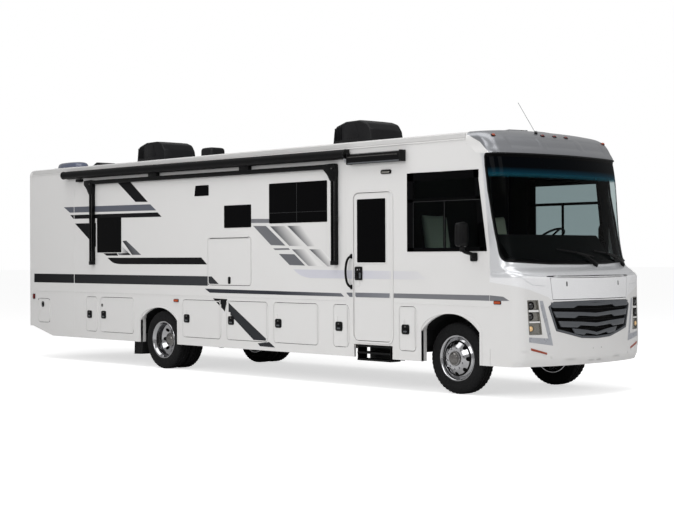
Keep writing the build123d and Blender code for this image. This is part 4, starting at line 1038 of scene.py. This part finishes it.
for mid_x in (-8365, -2140):
    top = along(mid_x, *rail) - 20
    # glossy channel: two flanges and a web, with a pale rod down it as a painted highlight; a curved joint at the top
    a, b = mid_x - 45, mid_x + 45
    joint = ((-45, -190), (-110, -95), (-195, -20), (-200, 55), (45, 62), (52, -60), (45, -190))
    joint = filleted([(mid_x + x, top + z) for x, z in joint], 26)
    pin_x = mid_x + 4
    made += [
        slab(rect(a, b, 1708, top), -WALL, -1318, gloss, 5),
        slab(rect(a, a + 24, 1712, top), -1300, -1352, gloss, 7, segments=3),
        slab(rect(b - 24, b, 1712, top), -1300, -1352, gloss, 7, segments=3),
        slab(rounded(mid_x - 14, mid_x + 14, 1740, top - 60, 6), -1316, -1338, satin, 5),
        # painted highlight: a thin pale metal rod for the bright line on the arm
        tube([P(mid_x + 33, -1353, 1725), P(mid_x + 33, -1353, top - 70)], 2.5, dull, "POLY"),
        slab(rounded(a - 5, b + 5, 1704, 1768, 12), -1300, -1356, satin, 4),
        slab(joint, -WALL, -1362, gloss, 8, segments=3),
        lathe([(0, 0), (0, 26), (8, 26), (14, 18), (14, 0)], P(pin_x, -1362, top - 10), RIGHT, satin, 28),
        lathe([(0, 0), (0, 11), (6, 9), (6, 0)], P(pin_x, -1376, top - 10), RIGHT, dull, 12),
    ]
join("patio_awning_assembly", made, node="patio_awning")
# door awning: closed cassette with a pale strip along its lid as a painted highlight
cassette = [(0, -74), (70, -78), (96, -60), (104, -20), (104, 22), (84, 62), (40, 76), (0, 76)]
join("door_awning_cassette", [
    bar((-1812, 3189), (-752, 3187), cassette, gloss, 50),
    # painted highlight: a pale metal strip for the bright line along the lid
    bar((-1806, 3189), (-812, 3187), [(100, 18), (108, 18), (106, 28), (98, 30)], dull),
    bar((-1806, 3189), (-762, 3187), [(80, -74), (99, -62), (103, -54), (84, -66)], grey),
    slab(filleted(rect(-1820, -1802, 3110, 3268), 6), -WALL, -1388, satin, 5),
    slab(filleted(rect(-778, -748, 3112, 3266), 6), -WALL, -1388, satin, 6),
], node="door_awning")
join("awning_end_bracket", [
    slab(rect(-1958, -1900, 3150, 3300), -WALL, -1290, alloy_satin, 2),
    slab(rounded(-1950, -1910, 3190, 3262, 12), -1289, -1322, alloy_satin, 4),
    lathe([(0, 0), (0, 14), (10, 12), (10, 0)], P(-1930, -1322, 3226), RIGHT, chrome, 16),
])

# ---------------------------------------------------------------- front: glass surround, lamps, grille, mirrors, wipers
def patch(outline, out, depth, mat, bevel=0, cell=40, **more):
    """A thick plate that follows the cap: a flat-sheet outline, its face out mm proud, depth mm thick."""
    (lo_a, hi_a), (lo_z, hi_z) = [(min(v), max(v)) for v in zip(*outline)]
    across, up = int((hi_a - lo_a) / cell), int((hi_z - lo_z) / cell)
    pts = [(lo_a + cell * (i + 0.5), lo_z + cell * (j + 0.5)) for i in range(across) for j in range(up)]
    if pts:
        pts = [p for p, k in zip(pts, inside(np.array(pts), shrink(outline, cell * 0.35))) if k]
    n = len(outline)
    rim_edges = [(i, (i + 1) % n) for i in range(n)]
    v, _, f, *_ = delaunay_2d_cdt([Vector(p) for p in outline + pts], rim_edges, [], 1, 0.05)
    verts = [spot(gather(p.x), p.y, h) for h in (out, out - depth) for p in v]
    used = {}
    for t in f:
        for a, b in zip(t, list(t[1:]) + [t[0]]):
            used.setdefault(frozenset((a, b)), []).append((a, b))
    m = len(v)
    faces = [list(t) for t in f] + [[m + k for k in t][::-1] for t in f]
    faces += [[a, b, m + b, m + a] for e in used.values() if len(e) == 1 for a, b in e]
    return piece(verts, faces, mat, 40, bevel, **more)


def front_shape(pts, r=0):
    """(y, z) points on the front to the flat sheet, rounded and split finely."""
    return outline_of(at_y(*pts), r, mirror=False)


def rim(outer, inner, out, mat, depth=10, **more):
    """A ring on the cap between two loops of as many points."""
    rows = (outer, out), (inner, out), (inner, out - depth), (outer, out - depth)
    rows = [[spot(gather(a), z, h) for a, z in loop] for loop, h in rows]
    return loft(rows, mat, 40, caps=False, loop=True, **more)


bead = [spot(gather(a), z, 1) for a, z in shrink(screen, 5)]
tube(bead, 11, satin, "LOOP", "windshield_bead", 3)
rim(shrink(screen, 2), shrink(screen, 46), -3, frit, 3, name="windshield_band")
# painted shadow: a dark strip along the top of the hood's opening, for the shade in the crease there
patch(front_shape(rect(-850, 850, 1557, 1571), 2), 1.2, 2, satin, name="hood_top_painted_shadow")

# lamp clusters: housing behind, three cells, three lenses, two bars and a white rim
CELLS = [  # top, bottom, depth, y and z of the lens, its radius, its colours
    (1266, 1140, -22, 1098, 1196, 40, gloss, lens_black),
    (1118, 996, -22, 1112, 1062, 40, gloss, lens_black),
    (980, 828, -16, 1108, 906, 34, dull, amber_clear),
]
TRIM = [  # L-shaped, beside and under the lamps
    (985, 1254), (930, 1254), (866, 1011), (789, 686), (1140, 738), (1140, 800), (862, 778), (922, 1011)]


def lamp_in(z):
    """y of the cells' inner edge at a height, 12 mm inside the lamp's own edge."""
    return 950 + (z - 828) * 50 / 438 + 12


def lamp_out(z):
    """y of the cells' outer edge at a height."""
    return 1140 + (z - 828) * 16 / 438 - 12


for s, tag in SIDES:
    box = [(s * y, z) for y, z in LAMP]
    sharp, soft = front_shape(box, 10), front_shape(box, 12)
    made = [
        patch(shrink(sharp, 2), -34, 6, cream),
        rim(shrink(soft, 1), shrink(soft, 12), 3, cream, 36),
    ]
    for zt, zb, depth, y, z, r, cup, lens in CELLS:
        cell = (lamp_out(zt), zt - 10), (lamp_in(zt), zt - 10), (lamp_in(zb), zb + 10), (lamp_out(zb), zb + 10)
        made.append(patch(front_shape([(s * a, b) for a, b in cell], 16), depth, 5, cream))
        at = spot_y(s * y, z, -16)
        ahead = (cap_normal(*by_y(s * y, z)) + Vector((0.5, 0, 0))).normalized()
        bowl = [(-20, 0), (-20, r + 12), (8, r + 12), (8, r + 4), (-2, r), (-2, 0)]
        bulb = [(-4, 0), (-4, r), (8, r * 0.92), (16, r * 0.6), (19, 0)]
        made += [lathe(bowl, at, ahead, cup, 32), lathe(bulb, at, ahead, lens, 32)]
    for zt, zb in ((1142, 1116), (998, 978)):
        in_t, in_b = (950 + (z - 828) * 0.114 + 4 for z in (zt, zb))
        lamp_bar = front_shape([(s * 1150, zt), (s * in_t, zt), (s * in_b, zb), (s * 1146, zb)], 3)
        made.append(patch(lamp_bar, 2, 30, white))
    made.append(rim(shrink(sharp, -22), shrink(sharp, -1), 2.5, white, 5))
    join(f"{tag}_headlight", made, node="headlights")
    trim = front_shape([(s * y, z) for y, z in TRIM], 4)
    patch(trim, 1.6, 2, trim_grey, cell=24, name=f"{tag}_lamp_trim")
    low_mark = front_shape([(s * 1118, 664), (s * 884, 600), (s * 880, 574), (s * 1114, 634)], 6)
    patch(low_mark, 5, 6, amber_deep, 2, name=f"{tag}_bumper_reflector")
    # orange marker on the corner, stripe carried round it
    for name, ends, z0, z1, r, out, depth, mat, bevel in (
        ("base", (932, 806), 1208, 1254, 12, 5, 6, satin, 1.5),
        ("lens", (922, 816), 1215, 1247, 9, 12, 8, amber, 3),
    ):
        a0, a1 = sorted(spread(by_x(x, 1230, s)[0]) for x in ends)
        patch(rounded(a0, a1, z0, z1, r), out, depth, mat, bevel, name=f"{tag}_corner_marker_{name}")
    stripe = [(spread(b), z) for b, z in at_x((741, 1323), (966, 1308), (1069, 1258), (741, 1251), s=s)]
    patch(stripe[::s], 1.2, 1, mid_grey, name=f"{tag}_cap_stripe")

# clearance lights on the brow: a black base and a lens, each in three rising rows
for i, (y, z) in enumerate(((-1150, 3374), (-244, 3406), (0, 3408), (244, 3406), (1150, 3374))):
    at, out = spot_y(y, z), cap_normal(*by_y(y, z))
    across = Vector((0, 1, 0))
    up = across.cross(out).normalized()
    made = []
    for lx, ly, h, mat in ((24, 36, 10, satin), (17, 28, 20, red if 0 < i < 4 else amber)):
        outline = rounded(-ly, ly, -lx, lx, lx * 0.9, 5)
        rows = [[at + (across * a * k + up * c * k + out * rise) / 1000 for a, c in outline]
                for rise, k in ((-6, 1.0), (h * 0.6, 1.0), (h, 0.72))]
        made.append(loft(rows, mat, 50))
    join(f"clearance_light_{i}", made)


# grille: black mesh behind four chevron bars in a grey frame
def chevron(z, rise, half, tall, tip):
    """A bar that is lowest in the middle and rises to its ends."""
    top = [(half, z + rise + tall), (half * 0.42, z + rise * 0.55 + tall)]
    low = [(half * 0.45, z + rise * 0.5 + 8), (half * 0.54, z + rise * 0.6 - 24), (half - tip, z + rise - 24)]
    left = [(-y, v) for y, v in low[::-1]], [(-y, v) for y, v in top]
    outline = top + [(0, z + tall)] + left[1][::-1] + left[0] + [(0, z + 6)] + low
    return patch(front_shape(outline), 8, 22, grey, 4, 50)


made = [
    patch(shrink(grille_hole, 8), -34, 4, matt, cell=60),
    rim(shrink(grille_hole, 3), shrink(grille_hole, 30), 4, grey, 38),
]
for z in range(775, 1208, 36):
    half = float(np.interp(z, [752, 766, 868, 1178, 1249], [60, 300, 730, 842, 800])) - 14
    made.append(patch(front_shape(rect(-half, half, z, z + 5)), -24, 8, satin, cell=80))
for sizes in ((1168, 18, 810, 46, 26), (1030, 34, 772, 52, 40), (902, 40, 700, 52, 44), (790, 62, 470, 44, 50)):
    made.append(chevron(*sizes))
join("grille_assembly", made, node="grille")
hole = [(-6, 0), (-6, 7), (0.6, 7), (0.6, 5), (-3, 5), (-3, 0)]
for y in (-72, 99):
    lathe(hole, spot_y(y, 630), cap_normal(*by_y(y, 630)), satin, 16, name=f"plate_hole_{abs(y)}")
for y, name in ((-541, "m541"), (541, "541")):
    a = spread(by_y(y, 1464)[0])
    patch(rounded(a - 9, a + 9, 1434, 1494, 8), 2.5, 3, satin, name=f"hood_hinge_mark_{name}", body="hood")
for s, tag in SIDES:
    crease = [(1212, 1549), (1070, 1460), (893, 1445), (893, 1437), (1070, 1452), (1212, 1540)]
    crease = front_shape([(s * y, z) for y, z in crease])
    patch(crease, 3, 4, silver, 1.5, name=f"shoulder_crease_{tag}")

# mirrors: rounded heads on an angled arm
head = filleted([(-95, -162), (95, -150), (88, 150), (-60, 165), (-95, 130)], 36)
HEAD_ROWS = ((-52, 0.86), (-40, 0.97), (-10, 1.0), (22, 0.95), (42, 0.8), (52, 0.5))
for s, tag in SIDES:
    y0 = s * 1500
    arm = ((467, 1500, 1948), (468, 1490, 1890), (474, 1420, 1868), (482, 1330, 1852), (486, 1300, 1830))
    knuckle = [(-34, 0), (-34, 26), (-20, 32), (20, 32), (34, 26), (34, 0)]
    join(f"{tag}_mirror", [
        loft([[P(467 + x, y0 + s * a * k, 2100 + c * k) for a, c in head] for x, k in HEAD_ROWS], satin, 60),
        piece([P(414, y0 + s * a * 0.84, 2100 + c * 0.86) for a, c in head], [list(range(len(head)))], chrome),
        tube([P(x, s * y, z) for x, y, z in arm], 24, satin),
        lathe(knuckle, P(467, y0 - s * 4, 1912), (0, 0, 1), satin, 28),
        slab(rounded(424, 540, 1756, 1868, 24), s * WALL, s * 1304, satin, 5),
        lathe([(0, 0), (0, 38), (14, 36), (26, 24), (26, 0)], P(484, s * 1300, 1826), (0, s, 0), satin, 28),
    ], node="mirrors")

# wipers: pivot block, arm, blade lying on the glass
pivot = [(-24, 0), (-24, 38), (12, 38), (30, 28), (34, 0)]
for k, (y, path, (ya, za), (yb, zb)) in enumerate((
    (300, ((215, 1765), (75, 1827), (-80, 1852)), (-440, 1906), (300, 1806)),
    (1060, ((950, 1752), (740, 1826), (620, 1846)), (330, 1886), (960, 1806)),
)):
    base = spot_y(y, 1700, 8)
    steps = [t / 10 for t in range(11)]
    def blade_line(lift, bow):
        return [spot_y(ya + (yb - ya) * t, za + (zb - za) * t, lift + bow * math.sin(math.pi * t)) for t in steps]
    join(f"wiper_{k}", [
        lathe(pivot, base, cap_normal(*by_y(y, 1700)), satin, 24),
        tube([base + Vector((0.02, 0, 0.01))] + [spot_y(*p, 34) for p in path], 14, satin),
        tube(blade_line(10, 0), 8, rubber),
        tube(blade_line(22, 12), 8, satin),
    ], node="wipers")

# ---------------------------------------------------------------- roof: air conditioners, vents, dome, antenna
CROWN_ROWS = [(0.5, 0, 1.0), (0.95, 3, 1.0), (0.985, 14, 0.992), (1.0, 34, 0.975)]  # share of half width, drop, inset
CROWN_ROWS = [(-share, *rest) for share, *rest in CROWN_ROWS[::-1]] + CROWN_ROWS
AC_SIDE = [
    (-528, 3440), (-524, 3560), (-502, 3735), (-462, 3800), (-250, 3862), (70, 3868),
    (215, 3818), (285, 3720), (306, 3600), (312, 3440),
]
made = []
for x in (-2700, -7880):
    side = filleted([(x + a, z) for a, z in AC_SIDE], [4, 60, 60, 60, 90, 120, 110, 90, 60, 4], 5)
    cx = sum(p[0] for p in side) / len(side)
    rows = [[P(cx + (a - cx) * inset, 340 * share, z - drop * (z > 3560)) for a, z in side]
            for share, drop, inset in CROWN_ROWS]
    made.append(loft(rows, shroud, 50))
    # facet panel on each side, louvres round the rear end
    for s, _ in SIDES:
        facet = [(x - 250, 3600), (x - 262, 3810), (x - 40, 3818), (x + 40, 3640), (x + 20, 3600)]
        made.append(slab(filleted(facet, 12), s * 336, s * 346, shroud, 4))
        for i in range(5):
            xi, z = x - 490 + i * 34, 3770 + i * 6
            louvre = [(xi, 3585), (xi + 14, 3585), (xi + 22, z), (xi + 8, z)]
            made.append(slab(filleted(louvre, 4, 3), s * 335, s * 346, gloss, 2))
    for y in range(-260, 261, 65):
        made.append(slab(rect(y - 14, y + 14, 3590, 3720), x - 530, x - 512, gloss, 3, "front"))
    made.append(slab(rounded(x - 500, x + 290, -322, 322, 50), 3440, 3512, satin, 6, "top"))
join("air_conditioner_shrouds", made, node="air_conditioners")


def lid(x, y, lx, ly, h, mat, rows, z, r):
    """A low rounded cover: rows of (share of height, share of width)."""
    outline = rounded(-0.5, 0.5, -0.5, 0.5, r)
    rows = [[P(x + a * (lx - ly * (1 - w)), y + b * ly * w, z + h * t) for a, b in outline] for t, w in rows]
    return loft(rows, mat, 50)


VENT_ROWS = ((0, 1), (0.15, 1), (0.2, 0.96), (0.7, 0.97), (0.86, 0.94), (0.96, 0.84), (1, 0.66))
DOME_ROWS = ((0, 1), (0.35, 0.98), (0.62, 0.93), (0.82, 0.84), (0.94, 0.7), (1, 0.5))
hatch = [(-10075, 3490), (-10062, 3560), (-9950, 3612), (-9900, 3612), (-9700, 3560), (-9690, 3490)]
antenna = [(-4, 0), (-4, 26), (8, 24), (16, 12), (34, 8), (34, 0)]
join("roof_hatches", [
    lid(-6640, 0, 320, 320, 222, shroud, VENT_ROWS, 3478, 0.14),
    slab(rounded(-6815, -6465, -175, 175, 20), 3470, 3506, satin, 4, "top"),
    lid(-9872, -740, 730, 400, 112, dome.m, DOME_ROWS, 3466, 0.4),
    slab(rounded(-10230, -9516, -950, -530, 60), 3440, 3478, roof_white, 6, "top"),
    slab(hatch, -195, 195, shroud, 12, segments=3, smooth=40),
    lathe(antenna, P(700, -300, 3440), (-0.56, 0, 0.83), satin, 20),
    tube([P(700, -300, 3440), P(398, -300, 3874)], 3.6, steel, "POLY"),
], node="roof_fittings")

# ---------------------------------------------------------------- wheels: tyres with tread, drum, hub, nuts
AXLES = (  # axle, body and tyre names, x, tyre middles, wheel face, hub's end, hub's radius
    ("front", "front_{}_wheel", "front_{}_tyre", 0, (985,), 1109, 1150, 95),
    ("rear", "rear_{}_wheels", "rear_{}_tyres", -6400, (1114, 854), 990, 1093, 110),
)
TREAD_STEPS, TREAD_CUT = 144, 9
TREAD = [  # half a tyre's section: across, radius
    (0, 463), (10, 463), (13, 475), (44, 475), (47, 463), (54, 463), (57, 474), (82, 473), (92, 470), (100, 463),
    (108, 449), (114, 426), (119, 400), (120, 378), (118, 352), (112, 330), (106, 322), (104, 305), (98, 300),
]
TREAD = [(-w, r) for w, r in TREAD[:0:-1]] + TREAD


def around(x, r, degrees):
    """The place at a radius and an angle about an axle."""
    a = math.radians(degrees)
    return P(x + math.cos(a) * r, 0, WHEEL_R + math.sin(a) * r)


for axle, wheel, tyre, x, ys, face, end, r in AXLES:
    for s, tag in SIDES:
        body, out, centre = wheel.format(tag), (0, s, 0), P(x, 0, WHEEL_R)
        verts, faces = [], []
        for y in ys:  # ribs, grooves round them, and a cut in the shoulder at every third step
            faces += strip(TREAD_STEPS, len(TREAD), loop=True, base=len(verts))
            for j in range(TREAD_STEPS):
                a = 2 * math.pi * j / TREAD_STEPS
                for w, radius in TREAD:
                    rr = (radius - TREAD_CUT * (j % 3 == 0 and 57 <= abs(w) <= 100)) / 1000
                    verts.append(P(x, s * y + w, WHEEL_R) + Vector((math.cos(a) * rr, 0, math.sin(a) * rr)))
        piece(verts, faces, rubber, 32, name=f"{axle}_{tag}_tread", body=body, node=tyre.format(tag))
        drum = [(face - 60, 0), (face - 60, 236), (face - 26, 236), (face - 22, 228), (face - 22, 0)]
        hub = [
            (face + 2, r), (face + 2, r + 24), (face + 12, r + 20), (face + 22, r + 6), (end - 6, r + 3),
            (end + 2, r - 5), (end + 4, r - 20), (end + 10, 74), (end + 22, 60), (end + 24, 0),
        ]
        nut = [(0, 0), (0, 19), (9, 18), (10, 15), (34, 13), (40, 7), (40, 0)]
        lip = [(98, 286), (98, 303), (106, 306), (110, 302), (108, 292), (100, 284)]
        valve = [(20, 0), (20, 4), (70, 4), (70, 0)]
        nut, lip, valve = ([(base + d, q) for d, q in row] for base, row in ((face, nut), (ys[0], lip), (ys[0], valve)))
        made = [lathe(drum, centre, out, matt, 40), lathe(hub, centre, out, dull)]
        made += [lathe(nut, around(x, r + 45, 36 * i + 12), out, chrome, 12) for i in range(10)]
        made.append(lathe(lip, centre, out, chrome, 72, closed=True))
        made += [lathe(valve, around(x, 262, at), out, dull, 8) for at in (200, 380)]
        join(f"{axle}_{tag}_hub_and_nuts", made, body)

# ---------------------------------------------------------------- cab interior seen through the glass, its dark lining partly painted shade
cab_hole = filleted([(-719, 1890), (690, 1890), (530, 2935), (-719, 2945)], 60)
outer = []
for x, z in cab_hole:  # carried outwards from the middle to the lining's edges
    dx, dz = x, z - 2400
    wide, high = (730 if dx > 0 else 1080), (880 if dz > 0 else 1150)
    k = min(wide / max(abs(dx), 1e-6), high / max(abs(dz), 1e-6))
    outer.append((dx * k, 2400 + dz * k))
for s, tag in SIDES:
    ring(cab_hole, shrink(cab_hole, 5), s * 1234, s * 1279, satin, name=f"{tag}_cab_reveal")
    ring(outer, cab_hole, s * 1226, s * 1238, lining_painted_shade, name=f"{tag}_cab_lining_painted_shade")
rim(shrink(screen, -150), shrink(screen, -2), -52, lining_painted_shade, 3, name="pillar_lining")
for name, mat, plane, d0, d1, outline in (
    ("headlining", lining_painted_shade, "top", 3236, 3250, ((400, 1225), (540, 800))),
    ("carpet", carpet, "top", 1232, 1238, ((640, 1225), (900, 800))),
):
    right_half = [(-1080, -1225)] + [(x, -y) for x, y in outline]
    slab(right_half + [(x, -y) for x, y in right_half[::-1]], d0, d1, mat, plane=plane, name="cab_" + name)
# painted shade: a dark wall behind the seats standing in for the dim room behind the cab
slab(rect(-1225, 1225, 1235, 3260), -1100, -1085, lining_painted_shade, plane="front", name="cab_painted_shade_wall")


def cushion(name, centre, along, up, size, crown=22, waist=0.06, n=14):
    """A crowned closed pad: size (length, width, thickness) in mm, sides drawn in between the corners."""
    along, up = Vector(along).normalized(), Vector(up).normalized()
    across = up.cross(along)
    lx, ly, lz = (v / 2 for v in size)
    verts, faces, idx = [], [], {}

    def at(i, j, k):
        u, v = -1 + 2 * i / n, -1 + 2 * j / n
        su, sv = math.copysign(abs(u) ** 0.8, u), math.copysign(abs(v) ** 0.8, v)
        rim_u = 1 - waist * (1 - v * v) * abs(u) ** 3
        rim_v = 1 - waist * (1 - u * u) * abs(v) ** 3
        thick = (1 - max(abs(u), abs(v)) ** 6) ** 0.5
        swell = lz * thick + crown * (1 - u * u) * (1 - v * v)
        seam = 5 * math.exp(-((abs(v) - 0.55) / 0.05) ** 2)
        return centre + (along * su * lx * rim_u + across * sv * ly * rim_v + up * k * max(swell - seam, 0.0)) / 1000

    def vert(i, j, k):
        key = (i, j, 0 if i in (0, n) or j in (0, n) else k)
        if key not in idx:
            idx[key] = len(verts)
            verts.append(at(*key))
        return idx[key]

    for k in (1, -1):
        for i in range(n):
            for j in range(n):
                q = [vert(i, j, k), vert(i + 1, j, k), vert(i + 1, j + 1, k), vert(i, j + 1, k)]
                faces.append(q if k == 1 else q[::-1])
    o = piece(verts, faces, seat_cloth, 180, name=name)
    sub = o.modifiers.new("soft", "SUBSURF")
    sub.levels = sub.render_levels = 1


# seats: base, cushion and back
made = []
for s, tag in SIDES:
    y = s * 620
    cushion(f"{tag}_seat_cushion", P(-480, y, 1710), (1, 0, 0.06), (-0.06, 0, 1), (560, 520, 110))
    cushion(f"{tag}_seat_back", P(-810, y, 2085), (-0.17, 0, 1), (1, 0, 0.17), (660, 490, 110))
    spine = filleted([(-800, 1640), (-776, 1640), (-890, 2330), (-914, 2330)], 6)
    made += [
        slab(rounded(-640, -320, y - 180, y + 180, 40), 1236, 1640, satin, 8, "top"),
        slab(rounded(-740, -240, y - 230, y + 230, 40), 1630, 1652, satin, 5, "top"),
        slab(spine, y - 200, y + 200, satin, 6),
    ]
join("seat_frames", made, node="cab_seats")
cowl = [(470, 1240), (452, 1700), (445, 2080), (480, 2106), (650, 2106), (900, 1800), (985, 1690), (985, 1240)]
cowl = filleted(cowl, [6, 20, 20, 20, 40, 40, 20, 6], 5)
slab(cowl, -1060, 1060, dash_mat, 10, name="dash_cowl", node="dashboard")
vent = rounded(520, 960, 1900, 1960, 20), rounded(530, 950, 1908, 1952, 16)
ring(*vent, 440, 450, satin, plane="front", name="dash_vent_ring")
slab(rect(-1742, -1055, 384, 580), -1000, -1006, satin, name="step_back", body="entry_step")

# ---------------------------------------------------------------- stage
FLOOR_GLOW, SKY_DIM, SKY_SEEN = 0.64, 0.4, 1.0  # the sky is dimmer for light and reflections
YAW, PITCH, ROLL, LENS = 47.307, -0.224, -0.216, 76.717  # degrees, mm
floor_m = Nodes("studio_floor")
path = floor_m.new("LightPath")
seen = floor_m.math("MAXIMUM", path.outputs["Is Camera Ray"], path.outputs["Is Transmission Ray"])
floor_m.set(Base_Color=(0.8, 0.8, 0.8, 1), Roughness=1.0, spec=0.0)
floor_m.set(Emission_Color=(1, 1, 1, 1), Emission_Strength=floor_m.math("MULTIPLY", seen, FLOOR_GLOW))
bpy.ops.mesh.primitive_plane_add(size=400, location=(0, 0, 0))
ground = bpy.context.object
ground.name = "floor_plane"
ground.data.materials.append(floor_m.m)

# white to the camera, dimmer for reflections and light
world = bpy.data.worlds.new("studio")
bpy.context.scene.world = world
world.use_nodes = True
wt = world.node_tree
wt.nodes.clear()
path, most, level, sky, to_world = (wt.nodes.new("ShaderNode" + n) for n in (
    "LightPath", "Math", "MapRange", "Background", "OutputWorld"))
most.operation = "MAXIMUM"
level.inputs["To Min"].default_value, level.inputs["To Max"].default_value = SKY_DIM, SKY_SEEN
sky.inputs["Color"].default_value = (1, 1, 1, 1)
for a, b in (
    (path.outputs["Is Camera Ray"], most.inputs[0]), (path.outputs["Is Transmission Ray"], most.inputs[1]),
    (most.outputs[0], level.inputs["Value"]), (level.outputs[0], sky.inputs["Strength"]),
    (sky.outputs[0], to_world.inputs["Surface"]),
):
    wt.links.new(a, b)

for name, place, target, size, watts in (
    ("overhead", (2, -3, 11), (0, 0, 0), (16, 9), 860),
    ("right_side", (5, -16, 8), (2, 0, 1.6), (14, 6), 780),
    ("front", (17, -1, 7), (4, 0, 1.5), (9, 5), 350),
):
    softbox = bpy.data.lights.new(name, "AREA")
    softbox.shape, (softbox.size, softbox.size_y), softbox.energy = "RECTANGLE", size, watts
    o = bpy.data.objects.new(name, softbox)
    o.location = place
    o.rotation_euler = (Vector(target) - Vector(place)).to_track_quat("-Z", "Y").to_euler()
    o.visible_camera = False
    link(o)

yaw, pitch, roll = (math.radians(a) for a in (YAW, PITCH, ROLL))
ahead = Vector((-math.sin(yaw) * math.cos(pitch), math.cos(yaw) * math.cos(pitch), -math.sin(pitch)))
right = Vector((math.cos(yaw), math.sin(yaw), 0))
up = right.cross(ahead)
turned = right * math.cos(roll) + up * math.sin(roll), up * math.cos(roll) - right * math.sin(roll), -ahead
cam = bpy.data.cameras.new("camera")
cam.lens, cam.sensor_width, cam.clip_end = LENS, 36, 500
camera = bpy.data.objects.new("camera", cam)
camera.matrix_world = Matrix(turned).transposed().to_4x4()
camera.location = P(12876, -15121, 1804)
link(camera)
bpy.context.scene.camera = camera

bpy.context.scene.view_settings.view_transform = "Standard"
